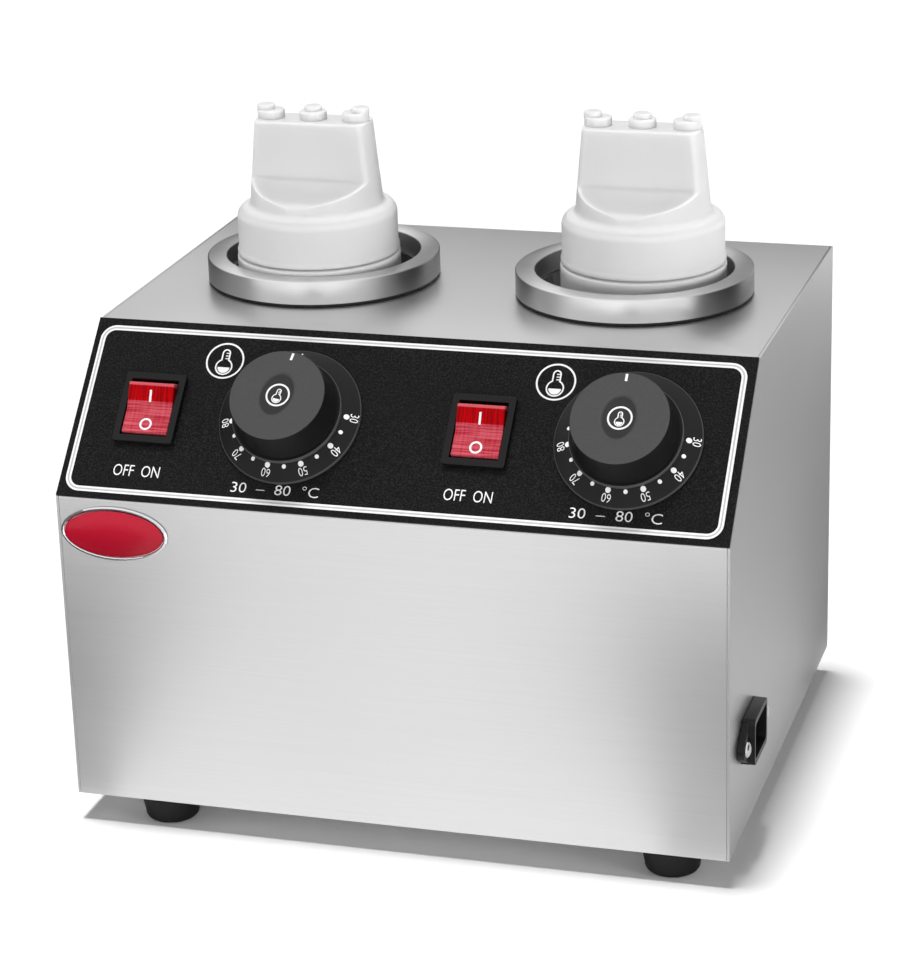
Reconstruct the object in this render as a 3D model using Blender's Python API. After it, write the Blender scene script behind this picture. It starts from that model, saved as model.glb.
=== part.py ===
"""Two-bottle topping warmer: a bent stainless case with a sloped control panel, two heated wells,
two squeeze bottles with three-nozzle screw caps, a thermostat and a rocker switch for each well,
and a mains inlet low on the right side.

Units are metres, +Z up, front towards -Y, mains inlet towards +X. The origin is at the middle of the
whole object's footprint, on the surface that the feet stand on.
"""
import math

import bmesh
import bpy
from mathutils import Matrix, Vector

# Case and panel, which drive everything else
CASE_WIDTH = 0.300
CASE_DEPTH = 0.240
FRONT_HEIGHT = 0.1430
DECK_HEIGHT = 0.206
SLOPE_DEPTH = 0.062
CLEARANCE = 0.0003
OVERRUN = 0.002
WRAPPER_SHEET = 0.0010
SIDE_SHEET = 0.0012
BEND_RADIUS = 0.0014
BEND_STEPS = 4
SMOOTH_ANGLE = math.radians(32)

# Base pan and feet
PAN_SHEET = 0.0010
PAN_LIP = 0.012
FOOT_HEIGHT = 0.013
FOOT_TOP_RADIUS = 0.0140
FOOT_BOTTOM_RADIUS = 0.0122
FOOT_EDGE = 0.0030
FOOT_INSET_LEFT = 0.0396
FOOT_INSET_RIGHT = 0.028
FOOT_INSET_FRONT = 0.0145
FOOT_BORE_RADIUS = 0.0023
FOOT_COUNTERBORE_RADIUS = 0.0044
FOOT_COUNTERBORE_DEPTH = 0.006
FOOT_SCREW_RADIUS = 0.0020
FOOT_SCREW_HEAD_RADIUS = 0.0038
FOOT_SCREW_HEAD = 0.0024
FOOT_SCREW_REACH = 0.006

# Wells, measured from the deck
WELLS_DRAWN_IN = 0.0018
WELLS_SHIFT_X = 0.0014
WELLS_DECK_SHARE = 0.48034
WELL_RADIUS = 0.044
WELL_WALL = 0.0010
WELL_DEPTH = 0.165
WELL_CORNER = 0.006
WELL_FLANGE = 0.005
GASKET_THICKNESS = 0.0008
COLLAR_WALL = 0.009
COLLAR_STANDS = 0.012
COLLAR_EDGE = 0.0008
COLLAR_LIP = 0.0036

# Heater, insulation and clamp round each well
BAND_THICKNESS = 0.0025
BAND_HEIGHT = 0.080
BAND_LIFT = 0.010
BAND_SLOT = 0.006
LUG_REACH = 0.009
LUG_THICKNESS = 0.003
LUG_HEIGHT = 0.012
CLAMP_SCREW_RADIUS = 0.0015
CLAMP_HEAD_RADIUS = 0.0030
CLAMP_HEAD = 0.0020
SLEEVE_THICKNESS = 0.0065
SLEEVE_SLOT = 0.024

# Control fascia, with places given from the middle of each half of the slope
FASCIA_THICKNESS = 0.0008
CONTROLS_SPREAD = 0.0005
SWITCH_SHIFT_X = -0.03985
KNOB_SHIFT_X = 0.02495
KNOB_SHIFT_UP = 0.0008

# Rocker switch
SWITCH_BEZEL_WIDTH = 0.0280
SWITCH_BEZEL_LENGTH = 0.0336
SWITCH_BEZEL_STANDS = 0.0025
SWITCH_BEZEL_EDGE = 0.0006
SWITCH_BODY_WIDTH = 0.0244
SWITCH_BODY_LENGTH = 0.0300
SWITCH_BODY_DEPTH = 0.0200
SWITCH_MOUTH_WIDTH = 0.0219
SWITCH_MOUTH_LENGTH = 0.0272
SWITCH_TAB_WIDTH = 0.0063
SWITCH_TAB_THICKNESS = 0.0010
SWITCH_TAB_REACH = 0.0080
SWITCH_TAB_PITCH = 0.0100
ROCKER_WIDTH = 0.0211
ROCKER_HALF_LENGTH = 0.0113
ROCKER_CORNER_HEIGHT = 0.0055
ROCKER_BELOW_PIVOT = 0.0040
ROCKER_SINK = 0.0005
ROCKER_HALF_TURN = math.radians(10)
ROCKER_TRUNNION_RADIUS = 0.0014
ROCKER_TRUNNION_REACH = 0.0009

# Thermostat, dial and knob
DIAL_RADIUS = 0.0320
DIAL_RIM = 0.0014
DIAL_CROWN = 0.0047
DIAL_CROWN_RADIUS = 0.0252
DIAL_BORE_RADIUS = 0.0090
KNOB_SKIRT_RADIUS = 0.0245
KNOB_SKIRT = 0.0022
KNOB_GRIP_RADIUS = 0.0226
KNOB_TOP_RADIUS = 0.0214
KNOB_STANDS = 0.0170
KNOB_EDGE = 0.0014
KNOB_DIMPLE_RADIUS = 0.0085
KNOB_DIMPLE = 0.0008
KNOB_REST_TURN_LEFT = math.radians(9.5)
SHAFT_RADIUS = 0.0030
SHAFT_FLAT = 0.0010
SHAFT_IN_KNOB = 0.0125
SHAFT_IN_BODY = 0.0060
KNOB_BORE_TOP = 0.0010
THERMOSTAT_WIDTH = 0.034
THERMOSTAT_LENGTH = 0.040
THERMOSTAT_DEPTH = 0.026
THERMOSTAT_COLLAR_RADIUS = 0.0075
THERMOSTAT_COLLAR = 0.004
PANEL_HOLE_RADIUS = 0.005
CAPILLARY_RADIUS = 0.0010
BULB_RADIUS = 0.0030
BULB_LENGTH = 0.050
BULB_ABOVE_BAND = 0.010

# Mains inlet, with places given from the case's front and bottom edges
INLET_Y = 0.039
INLET_Z = 0.0443
SHROUD_LENGTH = 0.0272
SHROUD_HEIGHT = 0.0216
SHROUD_STANDS = 0.0058
SHROUD_CORNER = 0.0022
INLET_FLANGE_LENGTH = 0.050
INLET_FLANGE_STANDS = 0.003
INLET_EAR_RADIUS = 0.0050
INLET_EAR_SWEEP = math.radians(62)
INLET_SCREW_PITCH = 0.040
INLET_SCREW_RADIUS = 0.0015
INLET_SCREW_BORE = 0.0018
INLET_SCREW_HEAD_RADIUS = 0.0036
INLET_SCREW_HEAD = 0.0018
INLET_SCREW_REACH = 0.006
INLET_BODY_REACH = 0.018
INLET_CAVITY_LENGTH = 0.0240
INLET_CAVITY_HEIGHT = 0.0164
INLET_CAVITY_DEPTH = 0.0165
PIN_WIDTH = 0.0040
PIN_THICKNESS = 0.0020
PIN_PITCH = 0.0070
PIN_EARTH_DROP = 0.0035
PIN_RECESS = 0.0055
PIN_TAIL = 0.0070

# Badge on the front, left blank, with its place given from the front's upper left corner
BADGE_INSET_X = 0.0267
BADGE_INSET_Z = 0.0152
BADGE_WIDTH = 0.0500
BADGE_HEIGHT = 0.0250
BADGE_RIM = 0.0016
BADGE_STANDS = 0.0018
BADGE_WALL_SHARE = 0.38
BADGE_DOME_SHARES = (0.12, 0.3, 0.55, 0.8)

# Bottles, with heights given from the deck
BOTTLE_RADIUS = 0.03775
BOTTLE_WALL = 0.0011
BOTTLE_FOOT_RADIUS = 0.0050
BOTTLE_FLOOR = 0.0018
SHOULDER_TOP = 0.0138
SHOULDER_DROP = 0.0030
NECK_RADIUS = 0.0330
THREAD_PITCH = 0.0040
THREAD_STANDS = 0.0011
THREAD_HALF_BASE = 0.0009
THREAD_TURNS = 2.0
THREAD_START = 0.0180
LEFT_BOTTLE_PLACE = (-0.0003, -0.0056)
RIGHT_BOTTLE_PLACE = (0.0031, 0.0047)

# Three-nozzle screw cap, with heights given from the deck
CAP_BOTTOM = 0.0144
CAP_RADIUS = 0.0369
CAP_BEAD = 0.0011
CAP_BEAD_HEIGHT = 0.0030
CAP_WALL = 0.0020
CAP_SHOULDER = 0.0367
CAP_SHOULDER_RADIUS = 0.0055
SPOUT_BASE_RADIUS = 0.0307
SPOUT_WALL = 0.0016
SPOUT_TOP = 0.0755
SPOUT_FACE_BOTTOM = 0.0490
SPOUT_TOP_RADIUS = 0.0270
SPOUT_HALF_THICKNESS = 0.0100
SPOUT_LEDGE_SLOPE = 0.35
LINER_THICKNESS = 0.0012
LINER_WIDTH = 0.0040
NOZZLE_PITCH = 0.0203
NOZZLE_COLLAR_RADIUS = 0.0062
NOZZLE_COLLAR = 0.0040
NOZZLE_TIP_RADIUS = 0.0041
NOZZLE_TIP = 0.0023
NOZZLE_TIP_OUTWARD = 0.0024
NOZZLE_ROOT = 0.0010

# Internal leads, and how high in the case's front each supply lead runs
LEAD_RADIUS = 0.0013
LEAD_END_GAP = 0.0004
LEAD_LEVEL_SHARES = {"left": 0.25, "right": 0.33}

# Facets
ROUND_STEPS = 40
MEDIUM_STEPS = 24
NOZZLE_STEPS = 20
SMALL_STEPS = 16

SLOPE_RISE = DECK_HEIGHT - FRONT_HEIGHT
SLOPE_LENGTH = math.hypot(SLOPE_DEPTH, SLOPE_RISE)
SLOPE_ANGLE = math.atan2(SLOPE_RISE, SLOPE_DEPTH)
FASCIA_TOP = CLEARANCE + FASCIA_THICKNESS
WELL_PITCH = CASE_WIDTH / 2 - WELLS_DRAWN_IN
WELL_CENTRE_Y = SLOPE_DEPTH + (CASE_DEPTH - SLOPE_DEPTH) * WELLS_DECK_SHARE
CONTROL_PITCH = CASE_WIDTH / 2 + CONTROLS_SPREAD
SWITCH_UP = SLOPE_LENGTH / 2
KNOB_UP = SLOPE_LENGTH / 2 + KNOB_SHIFT_UP
SIDES = {"left": -1, "right": 1}


def clear_scene():
    for obj in list(bpy.data.objects):
        bpy.data.objects.remove(obj, do_unlink=True)


def finish(name, color, roughness, metallic=0.0):
    """A plain Principled material."""
    made = bpy.data.materials.new(name)
    made.use_nodes = True
    shader = made.node_tree.nodes["Principled BSDF"]
    shader.inputs["Base Color"].default_value = (*color, 1)
    shader.inputs["Roughness"].default_value = roughness
    shader.inputs["Metallic"].default_value = metallic
    return made


def empty(name, parent=None, location=(0, 0, 0), rotation=(0, 0, 0)):
    made = bpy.data.objects.new(name, None)
    bpy.context.scene.collection.objects.link(made)
    made.parent = parent
    made.location = location
    made.rotation_euler = rotation
    return made


def from_bmesh(name, shape, surface, parent, location=(0, 0, 0), rotation=(0, 0, 0)):
    """One named object from a bmesh, with its faces turned outwards and its round stretches smooth."""
    bmesh.ops.recalc_face_normals(shape, faces=shape.faces)
    mesh = bpy.data.meshes.new(name)
    shape.to_mesh(mesh)
    shape.free()
    mesh.shade_smooth()
    mesh.set_sharp_from_angle(angle=SMOOTH_ANGLE)
    if surface:
        mesh.materials.append(surface)
    made = bpy.data.objects.new(name, mesh)
    bpy.context.scene.collection.objects.link(made)
    made.parent = parent
    made.location = location
    made.rotation_euler = rotation
    return made


def combine(target, tool, operation="DIFFERENCE"):
    """Cuts the tool from the target, or joins it on, and keeps the tool as a wire helper."""
    step = target.modifiers.new(tool.name, "BOOLEAN")
    step.operation = operation
    step.object = tool
    step.solver = "EXACT"
    tool.hide_render = True
    tool.display_type = "WIRE"


def block(size, corner=0.0, lift=0.0):
    """A box of the given size, centred in X and Y, standing on z = lift, with its upright edges bevelled."""
    shape = bmesh.new()
    bmesh.ops.create_cube(shape, size=1.0)
    bmesh.ops.scale(shape, vec=size, verts=shape.verts)
    bmesh.ops.translate(shape, vec=(0, 0, size[2] / 2 + lift), verts=shape.verts)
    if corner:
        upright = [e for e in shape.edges if abs(e.verts[0].co.z - e.verts[1].co.z) > size[2] / 2]
        bmesh.ops.bevel(shape, geom=upright, offset=corner, segments=3, affect="EDGES", profile=0.5)
    return shape


def turned(profile, steps=ROUND_STEPS):
    """The closed (radius, z) outline spun round Z. An outline that meets the axis starts and ends on it."""
    shape = bmesh.new()
    points = [shape.verts.new((radius, 0, z)) for radius, z in profile]
    loop = [shape.edges.new(pair) for pair in zip(points, points[1:])]
    if profile[0][0] or profile[-1][0]:
        loop.append(shape.edges.new((points[-1], points[0])))
    bmesh.ops.spin(
        shape, geom=points + loop, cent=(0, 0, 0), axis=(0, 0, 1), angle=2 * math.pi,
        steps=steps, use_merge=True,
    )
    bmesh.ops.remove_doubles(shape, verts=shape.verts, dist=CLEARANCE / 100)
    return shape


def rod(radius, low, high, steps=SMALL_STEPS):
    """A cylinder about Z from z = low to z = high."""
    return turned([(0, low), (radius, low), (radius, high), (0, high)], steps)


def extruded(outline, thickness, lift=0.0):
    """A flat outline in X and Y made solid from z = lift upwards."""
    shape = bmesh.new()
    base = shape.faces.new([shape.verts.new((x, y, lift)) for x, y in outline])
    grown = bmesh.ops.extrude_face_region(shape, geom=[base])["geom"]
    moved = [item for item in grown if isinstance(item, bmesh.types.BMVert)]
    bmesh.ops.translate(shape, vec=(0, 0, thickness), verts=moved)
    return shape


def arc(centre, radius, start, end, steps):
    """Points along an arc, angles in radians."""
    turn = (end - start) / steps
    return [
        (centre[0] + radius * math.cos(start + turn * i), centre[1] + radius * math.sin(start + turn * i))
        for i in range(steps + 1)
    ]


def bent(points, radius, steps=BEND_STEPS):
    """The open path with each inner corner replaced by an arc of the given radius."""
    path = [points[0]]
    for before, corner, after in zip(points, points[1:], points[2:]):
        here = Vector(corner)
        back = (Vector(before) - here).normalized()
        on = (Vector(after) - here).normalized()
        half = back.angle(on) / 2
        centre = here + (back + on).normalized() * radius / math.sin(half)
        first = here + back * radius / math.tan(half) - centre
        last = here + on * radius / math.tan(half) - centre
        turn = first.angle_signed(last)
        for i in range(steps + 1):
            angle = math.atan2(first.y, first.x) - turn * i / steps
            path.append((centre.x + radius * math.cos(angle), centre.y + radius * math.sin(angle)))
    return path + [points[-1]]


def inset_path(points, distance):
    """The open path moved sideways to its right, with mitred corners."""
    moved = []
    for i, point in enumerate(points):
        before = Vector(points[max(i - 1, 0)])
        after = Vector(points[min(i + 1, len(points) - 1)])
        here = Vector(point)
        ways = [w.normalized() for w in (here - before, after - here) if w.length]
        sides = [Vector((w.y, -w.x)) for w in ways]
        side = sum(sides, Vector((0, 0))).normalized()
        moved.append(tuple(here + side * distance / side.dot(sides[0])))
    return moved


def ring_of_bodies(rings):
    """A closed skin through rings of equally many points, first to last, with flat ends."""
    shape = bmesh.new()
    loops = [[shape.verts.new(point) for point in ring] for ring in rings]
    for lower, upper in zip(loops, loops[1:]):
        for i in range(len(lower)):
            j = (i + 1) % len(lower)
            shape.faces.new((lower[i], lower[j], upper[j], upper[i]))
    shape.faces.new(loops[0])
    shape.faces.new(loops[-1])
    return shape


def tube(name, points, radius, surface, parent, widths=None, sides=2):
    """A round tube along the points, with closed ends. widths scales its radius point by point."""
    curve = bpy.data.curves.new(name, "CURVE")
    curve.dimensions = "3D"
    curve.bevel_depth = radius
    curve.bevel_resolution = sides
    curve.use_fill_caps = True
    spline = curve.splines.new("POLY")
    spline.points.add(len(points) - 1)
    for i, point in enumerate(points):
        spline.points[i].co = (*point, 1)
        spline.points[i].radius = widths[i] if widths else 1
    curve.materials.append(surface)
    made = bpy.data.objects.new(name, curve)
    bpy.context.scene.collection.objects.link(made)
    made.parent = parent
    return made


def smooth_route(points, per_span=4):
    """Points on a smooth curve through the given ones, which doesn't swing wide beside a short span."""
    points = [Vector(point) for point in points]
    knots = [2 * points[0] - points[1], *points, 2 * points[-1] - points[-2]]
    path = []
    for before, start, end, after in zip(knots, knots[1:], knots[2:], knots[3:]):
        span = (end - start).length
        leave = (end - before).normalized() * span
        arrive = (after - start).normalized() * span
        for i in range(per_span):
            share = i / per_span
            on = share * share * (3 - 2 * share)
            push = share * (1 - share) ** 2
            pull = share * share * (1 - share)
            path.append(start.lerp(end, on) + leave * push - arrive * pull)
    return path + [points[-1]]


def well_place(side):
    return WELLS_SHIFT_X + SIDES[side] * WELL_PITCH / 2, WELL_CENTRE_Y


def switch_x(side):
    return SIDES[side] * CONTROL_PITCH / 2 + SWITCH_SHIFT_X


def knob_x(side):
    return SIDES[side] * CONTROL_PITCH / 2 + KNOB_SHIFT_X


def on_panel(x, up, height):
    """A place given on the panel, in the case's own frame."""
    along = Vector((0, math.cos(SLOPE_ANGLE), math.sin(SLOPE_ANGLE)))
    out = Vector((0, -math.sin(SLOPE_ANGLE), math.cos(SLOPE_ANGLE)))
    return Vector((x, 0, FRONT_HEIGHT)) + along * up + out * height


clear_scene()

STEEL = finish("brushed_steel", (0.62, 0.63, 0.64), 0.34, 1.0)
BRIGHT = finish("bright_steel", (0.75, 0.75, 0.76), 0.18, 1.0)
BLACK = finish("black_fascia", (0.018, 0.018, 0.020), 0.42)
KNOB_BLACK = finish("knob_plastic", (0.045, 0.045, 0.048), 0.38)
RUBBER = finish("foot_rubber", (0.02, 0.02, 0.02), 0.7)
GASKET = finish("gasket_rubber", (0.015, 0.015, 0.015), 0.6)
RED = finish("rocker_red", (0.62, 0.03, 0.05), 0.22)
BADGE_RED = finish("badge_red", (0.45, 0.01, 0.03), 0.15)
NATURAL = finish("natural_plastic", (0.80, 0.81, 0.81), 0.35)
MILKY = finish("bottle_plastic", (0.72, 0.74, 0.74), 0.38)
BRASS = finish("pin_brass", (0.70, 0.66, 0.55), 0.25, 1.0)
MICA = finish("heater_mica", (0.30, 0.24, 0.17), 0.5, 0.4)
FELT = finish("insulation_felt", (0.78, 0.76, 0.70), 0.95)
LEAD = finish("lead_silicone", (0.45, 0.05, 0.04), 0.5)
COPPER = finish("capillary_copper", (0.62, 0.33, 0.20), 0.3, 1.0)

# Frames that carry the pieces
warmer = empty("warmer", None, (-SHROUD_STANDS / 2, -(CASE_DEPTH - BADGE_STANDS) / 2, FOOT_HEIGHT))
panel = empty("panel", warmer, (0, 0, FRONT_HEIGHT), (SLOPE_ANGLE, 0, 0))
deck = empty("deck", warmer, (0, 0, DECK_HEIGHT))


def make_wrapper():
    """One bent sheet: front, slope, deck and back, between the two side panels."""
    corners = [
        (0, 0), (0, FRONT_HEIGHT), (SLOPE_DEPTH, DECK_HEIGHT), (CASE_DEPTH, DECK_HEIGHT), (CASE_DEPTH, 0),
    ]
    outside = bent(corners, BEND_RADIUS)
    inside = bent(inset_path(corners, WRAPPER_SHEET), BEND_RADIUS - WRAPPER_SHEET)
    width = CASE_WIDTH - 2 * (SIDE_SHEET + CLEARANCE)
    shape = extruded(outside + inside[::-1], width, -width / 2)
    # The outline's X and Y are the case's Y and Z
    made = from_bmesh("wrapper_sheet", shape, STEEL, warmer, rotation=(math.pi / 2, 0, math.pi / 2))
    for side in SIDES:
        hole = rod(deck_hole_radius(), -OVERRUN - WRAPPER_SHEET, OVERRUN, ROUND_STEPS)
        combine(made, from_bmesh(f"deck_hole_{side}", hole, None, deck, (*well_place(side), 0)))
        combine(made, switch_hole(side, "slope", WRAPPER_SHEET))
        combine(made, shaft_hole(side, "slope", WRAPPER_SHEET))
    return made


def deck_hole_radius():
    return WELL_RADIUS + WELL_WALL + 3 * CLEARANCE


def switch_hole(side, sheet, depth):
    size = (SWITCH_BODY_WIDTH + 2 * CLEARANCE, SWITCH_BODY_LENGTH + 2 * CLEARANCE, depth + 2 * OVERRUN)
    hole = block(size, lift=-depth - OVERRUN)
    place = (switch_x(side), SWITCH_UP, 0)
    return from_bmesh(f"{sheet}_switch_hole_{side}", hole, None, panel, place)


def shaft_hole(side, sheet, depth):
    hole = rod(PANEL_HOLE_RADIUS, -depth - OVERRUN, OVERRUN)
    place = (knob_x(side), KNOB_UP, 0)
    return from_bmesh(f"{sheet}_shaft_hole_{side}", hole, None, panel, place)


def make_side_panel(side):
    """A flat end sheet with the case's outline, outside the wrapper's edges."""
    corners = [
        (0, 0), (0, FRONT_HEIGHT), (SLOPE_DEPTH, DECK_HEIGHT), (CASE_DEPTH, DECK_HEIGHT), (CASE_DEPTH, 0),
    ]
    inner_face = CASE_WIDTH / 2 - SIDE_SHEET if side == "right" else -CASE_WIDTH / 2
    shape = extruded(bent(corners, BEND_RADIUS), SIDE_SHEET, inner_face)
    made = from_bmesh(f"{side}_side_panel", shape, STEEL, warmer, rotation=(math.pi / 2, 0, math.pi / 2))
    if side == "right":
        length = INLET_BODY_LENGTH + 2 * CLEARANCE
        height = INLET_BODY_HEIGHT + 2 * CLEARANCE
        cut_out = block((length, height, 2 * OVERRUN + SIDE_SHEET), lift=-SIDE_SHEET - OVERRUN)
        combine(made, from_bmesh("inlet_cut_out", cut_out, None, inlet))
        for end in (-1, 1):
            hole = rod(INLET_SCREW_BORE, -SIDE_SHEET - OVERRUN, OVERRUN)
            place = (end * INLET_SCREW_PITCH / 2, 0, 0)
            combine(made, from_bmesh(f"inlet_screw_hole_{end}", hole, None, inlet, place))
    return made


def foot_places():
    left = -CASE_WIDTH / 2 + FOOT_INSET_LEFT
    right = CASE_WIDTH / 2 - FOOT_INSET_RIGHT
    front = FOOT_INSET_FRONT
    back = CASE_DEPTH - FOOT_INSET_FRONT
    return {
        "front_left": (left, front), "front_right": (right, front),
        "rear_left": (left, back), "rear_right": (right, back),
    }


def make_base_pan():
    """A shallow folded tray that closes the case from below and carries the feet."""
    width = CASE_WIDTH - 2 * (SIDE_SHEET + CLEARANCE)
    depth = CASE_DEPTH - 2 * (WRAPPER_SHEET + CLEARANCE)
    shape = block((width, depth, PAN_LIP))
    top = max(shape.faces, key=lambda face: face.calc_center_median().z)
    bmesh.ops.inset_region(shape, faces=[top], thickness=PAN_SHEET, use_even_offset=True)
    grown = bmesh.ops.extrude_discrete_faces(shape, faces=[top])["faces"][0]
    bmesh.ops.translate(shape, vec=(0, 0, PAN_SHEET - PAN_LIP), verts=grown.verts)
    made = from_bmesh("base_pan", shape, STEEL, warmer, (0, CASE_DEPTH / 2, 0))
    for where, place in foot_places().items():
        hole = rod(FOOT_BORE_RADIUS, -OVERRUN, PAN_SHEET + OVERRUN)
        combine(made, from_bmesh(f"pan_hole_{where}", hole, None, warmer, (*place, 0)))
    return made


def make_foot(where, place):
    """A tapered rubber foot with a counterbored hole, and the screw that holds it to the pan."""
    ground = -FOOT_HEIGHT
    seat = ground + FOOT_COUNTERBORE_DEPTH
    edge = arc((FOOT_BOTTOM_RADIUS - FOOT_EDGE, ground + FOOT_EDGE), FOOT_EDGE, -math.pi / 2, 0, 3)
    outline = [
        (FOOT_BORE_RADIUS, -CLEARANCE), (FOOT_BORE_RADIUS, seat), (FOOT_COUNTERBORE_RADIUS, seat),
        (FOOT_COUNTERBORE_RADIUS, ground), *edge, (FOOT_TOP_RADIUS, -FOOT_EDGE),
        (FOOT_TOP_RADIUS, -CLEARANCE),
    ]
    from_bmesh(f"foot_{where}", turned(outline, MEDIUM_STEPS), RUBBER, warmer, (*place, 0))
    head = seat - CLEARANCE
    screw = [
        (0, FOOT_SCREW_REACH), (FOOT_SCREW_RADIUS, FOOT_SCREW_REACH), (FOOT_SCREW_RADIUS, head),
        (FOOT_SCREW_HEAD_RADIUS, head), (FOOT_SCREW_HEAD_RADIUS, head - FOOT_SCREW_HEAD),
        (0, head - FOOT_SCREW_HEAD),
    ]
    from_bmesh(f"foot_screw_{where}", turned(screw, SMALL_STEPS), BRIGHT, warmer, (*place, 0))


def make_fascia():
    """The printed black sheet on the slope, with openings for the switches and the shafts."""
    size = (CASE_WIDTH - 2 * CLEARANCE, SLOPE_LENGTH - 2 * CLEARANCE, FASCIA_THICKNESS)
    made = from_bmesh("control_fascia", block(size, lift=CLEARANCE), BLACK, panel, (0, SLOPE_LENGTH / 2, 0))
    for side in SIDES:
        combine(made, switch_hole(side, "fascia", FASCIA_TOP))
        combine(made, shaft_hole(side, "fascia", FASCIA_TOP))
    return made


def gasket_top():
    return CLEARANCE + GASKET_THICKNESS


def flange_top():
    return gasket_top() + CLEARANCE + WELL_WALL


def collar_radius():
    return WELL_RADIUS + WELL_WALL + COLLAR_WALL


def make_well(side):
    """The gasket, the heated cup that hangs from its flange, and the collar over the flange."""
    place = (*well_place(side), 0)
    outer = WELL_RADIUS + WELL_WALL
    flange = outer + WELL_FLANGE
    base = flange_top() - WELL_WALL
    rim = gasket_top()
    gasket = [(deck_hole_radius(), CLEARANCE), (collar_radius() - CLEARANCE, CLEARANCE),
              (collar_radius() - CLEARANCE, rim), (deck_hole_radius(), rim)]
    from_bmesh(f"{side}_collar_gasket", turned(gasket), GASKET, deck, place)
    under = flange_top() + CLEARANCE
    lip = collar_radius() - COLLAR_LIP
    collar = [
        (outer, under), (lip, under), (lip, base), (collar_radius(), base),
        (collar_radius(), COLLAR_STANDS - COLLAR_EDGE), (collar_radius() - COLLAR_EDGE, COLLAR_STANDS),
        (outer + COLLAR_EDGE, COLLAR_STANDS), (outer, COLLAR_STANDS - COLLAR_EDGE),
    ]
    from_bmesh(f"{side}_collar_ring", turned(collar), BRIGHT, deck, place)
    floor = -WELL_DEPTH
    corner = (WELL_RADIUS - WELL_CORNER, floor + WELL_CORNER)
    inside = arc(corner, WELL_CORNER, 0, -math.pi / 2, 4)
    outside = arc(corner, WELL_CORNER + WELL_WALL, -math.pi / 2, 0, 3)
    cup = [(0, floor), *inside[::-1], (WELL_RADIUS, flange_top()), (flange, flange_top()), (flange, base),
           (outer, base), *outside[::-1], (0, floor - WELL_WALL)]
    from_bmesh(f"{side}_well_cup", turned(cup), STEEL, deck, place)


def make_heater(side):
    """A split band heater drawn tight round the cup by one clamp screw, inside a felt sleeve."""
    place = (*well_place(side), 0)
    inner = WELL_RADIUS + WELL_WALL + CLEARANCE
    outer = inner + BAND_THICKNESS
    low = -WELL_DEPTH + BAND_LIFT
    high = low + BAND_HEIGHT
    wrap = turned([(inner, low), (outer, low), (outer, high), (inner, high)])
    band = from_bmesh(f"{side}_heater_band", wrap, MICA, deck, place)
    slot_size = (BAND_SLOT, 2 * (BAND_THICKNESS + OVERRUN), BAND_HEIGHT + 2 * OVERRUN)
    slot = block(slot_size, lift=low - OVERRUN)
    slot_place = (place[0], place[1] + (inner + outer) / 2, 0)
    combine(band, from_bmesh(f"band_slot_{side}", slot, None, deck, slot_place))
    middle = (low + high) / 2
    lug_y = place[1] + outer - BAND_THICKNESS / 2 + LUG_REACH / 2
    for end in (-1, 1):
        lug_x = place[0] + end * (BAND_SLOT + LUG_THICKNESS) / 2
        lug_size = (LUG_THICKNESS, LUG_REACH + BAND_THICKNESS, LUG_HEIGHT)
        lug = block(lug_size, lift=middle - LUG_HEIGHT / 2)
        combine(band, from_bmesh(f"band_lug_{side}_{end}", lug, None, deck, (lug_x, lug_y, 0)), "UNION")
    # The screw lies along X through both lugs
    screw_place = (place[0], place[1] + outer + LUG_REACH / 2, middle)
    along_x = (0, math.pi / 2, 0)
    reach = BAND_SLOT / 2 + LUG_THICKNESS + 2 * CLEARANCE
    bore = rod(CLAMP_SCREW_RADIUS + CLEARANCE, -reach - OVERRUN, reach + OVERRUN)
    combine(band, from_bmesh(f"band_screw_bore_{side}", bore, None, deck, screw_place, along_x))
    head = BAND_SLOT / 2 + LUG_THICKNESS + CLEARANCE
    screw = [(0, -head - OVERRUN), (CLAMP_SCREW_RADIUS, -head - OVERRUN), (CLAMP_SCREW_RADIUS, head),
             (CLAMP_HEAD_RADIUS, head), (CLAMP_HEAD_RADIUS, head + CLAMP_HEAD), (0, head + CLAMP_HEAD)]
    from_bmesh(f"{side}_clamp_screw", turned(screw, SMALL_STEPS), BRIGHT, deck, screw_place, along_x)
    inner_felt = outer + CLEARANCE
    outer_felt = inner_felt + SLEEVE_THICKNESS
    felt = turned([(inner_felt, low), (outer_felt, low), (outer_felt, high), (inner_felt, high)])
    sleeve = from_bmesh(f"{side}_insulation_sleeve", felt, FELT, deck, place)
    gap_size = (SLEEVE_SLOT, 2 * SLEEVE_THICKNESS + 2 * OVERRUN, BAND_HEIGHT + 2 * OVERRUN)
    gap = block(gap_size, lift=low - OVERRUN)
    gap_place = (place[0], place[1] + (inner_felt + outer_felt) / 2, 0)
    combine(sleeve, from_bmesh(f"sleeve_slot_{side}", gap, None, deck, gap_place))


def rocker_pivot_height():
    """The pressed half's face lies just under the bezel's top."""
    face = ROCKER_CORNER_HEIGHT - ROCKER_HALF_LENGTH * math.tan(ROCKER_HALF_TURN)
    return FASCIA_TOP + CLEARANCE + SWITCH_BEZEL_STANDS - ROCKER_SINK - face


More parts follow.
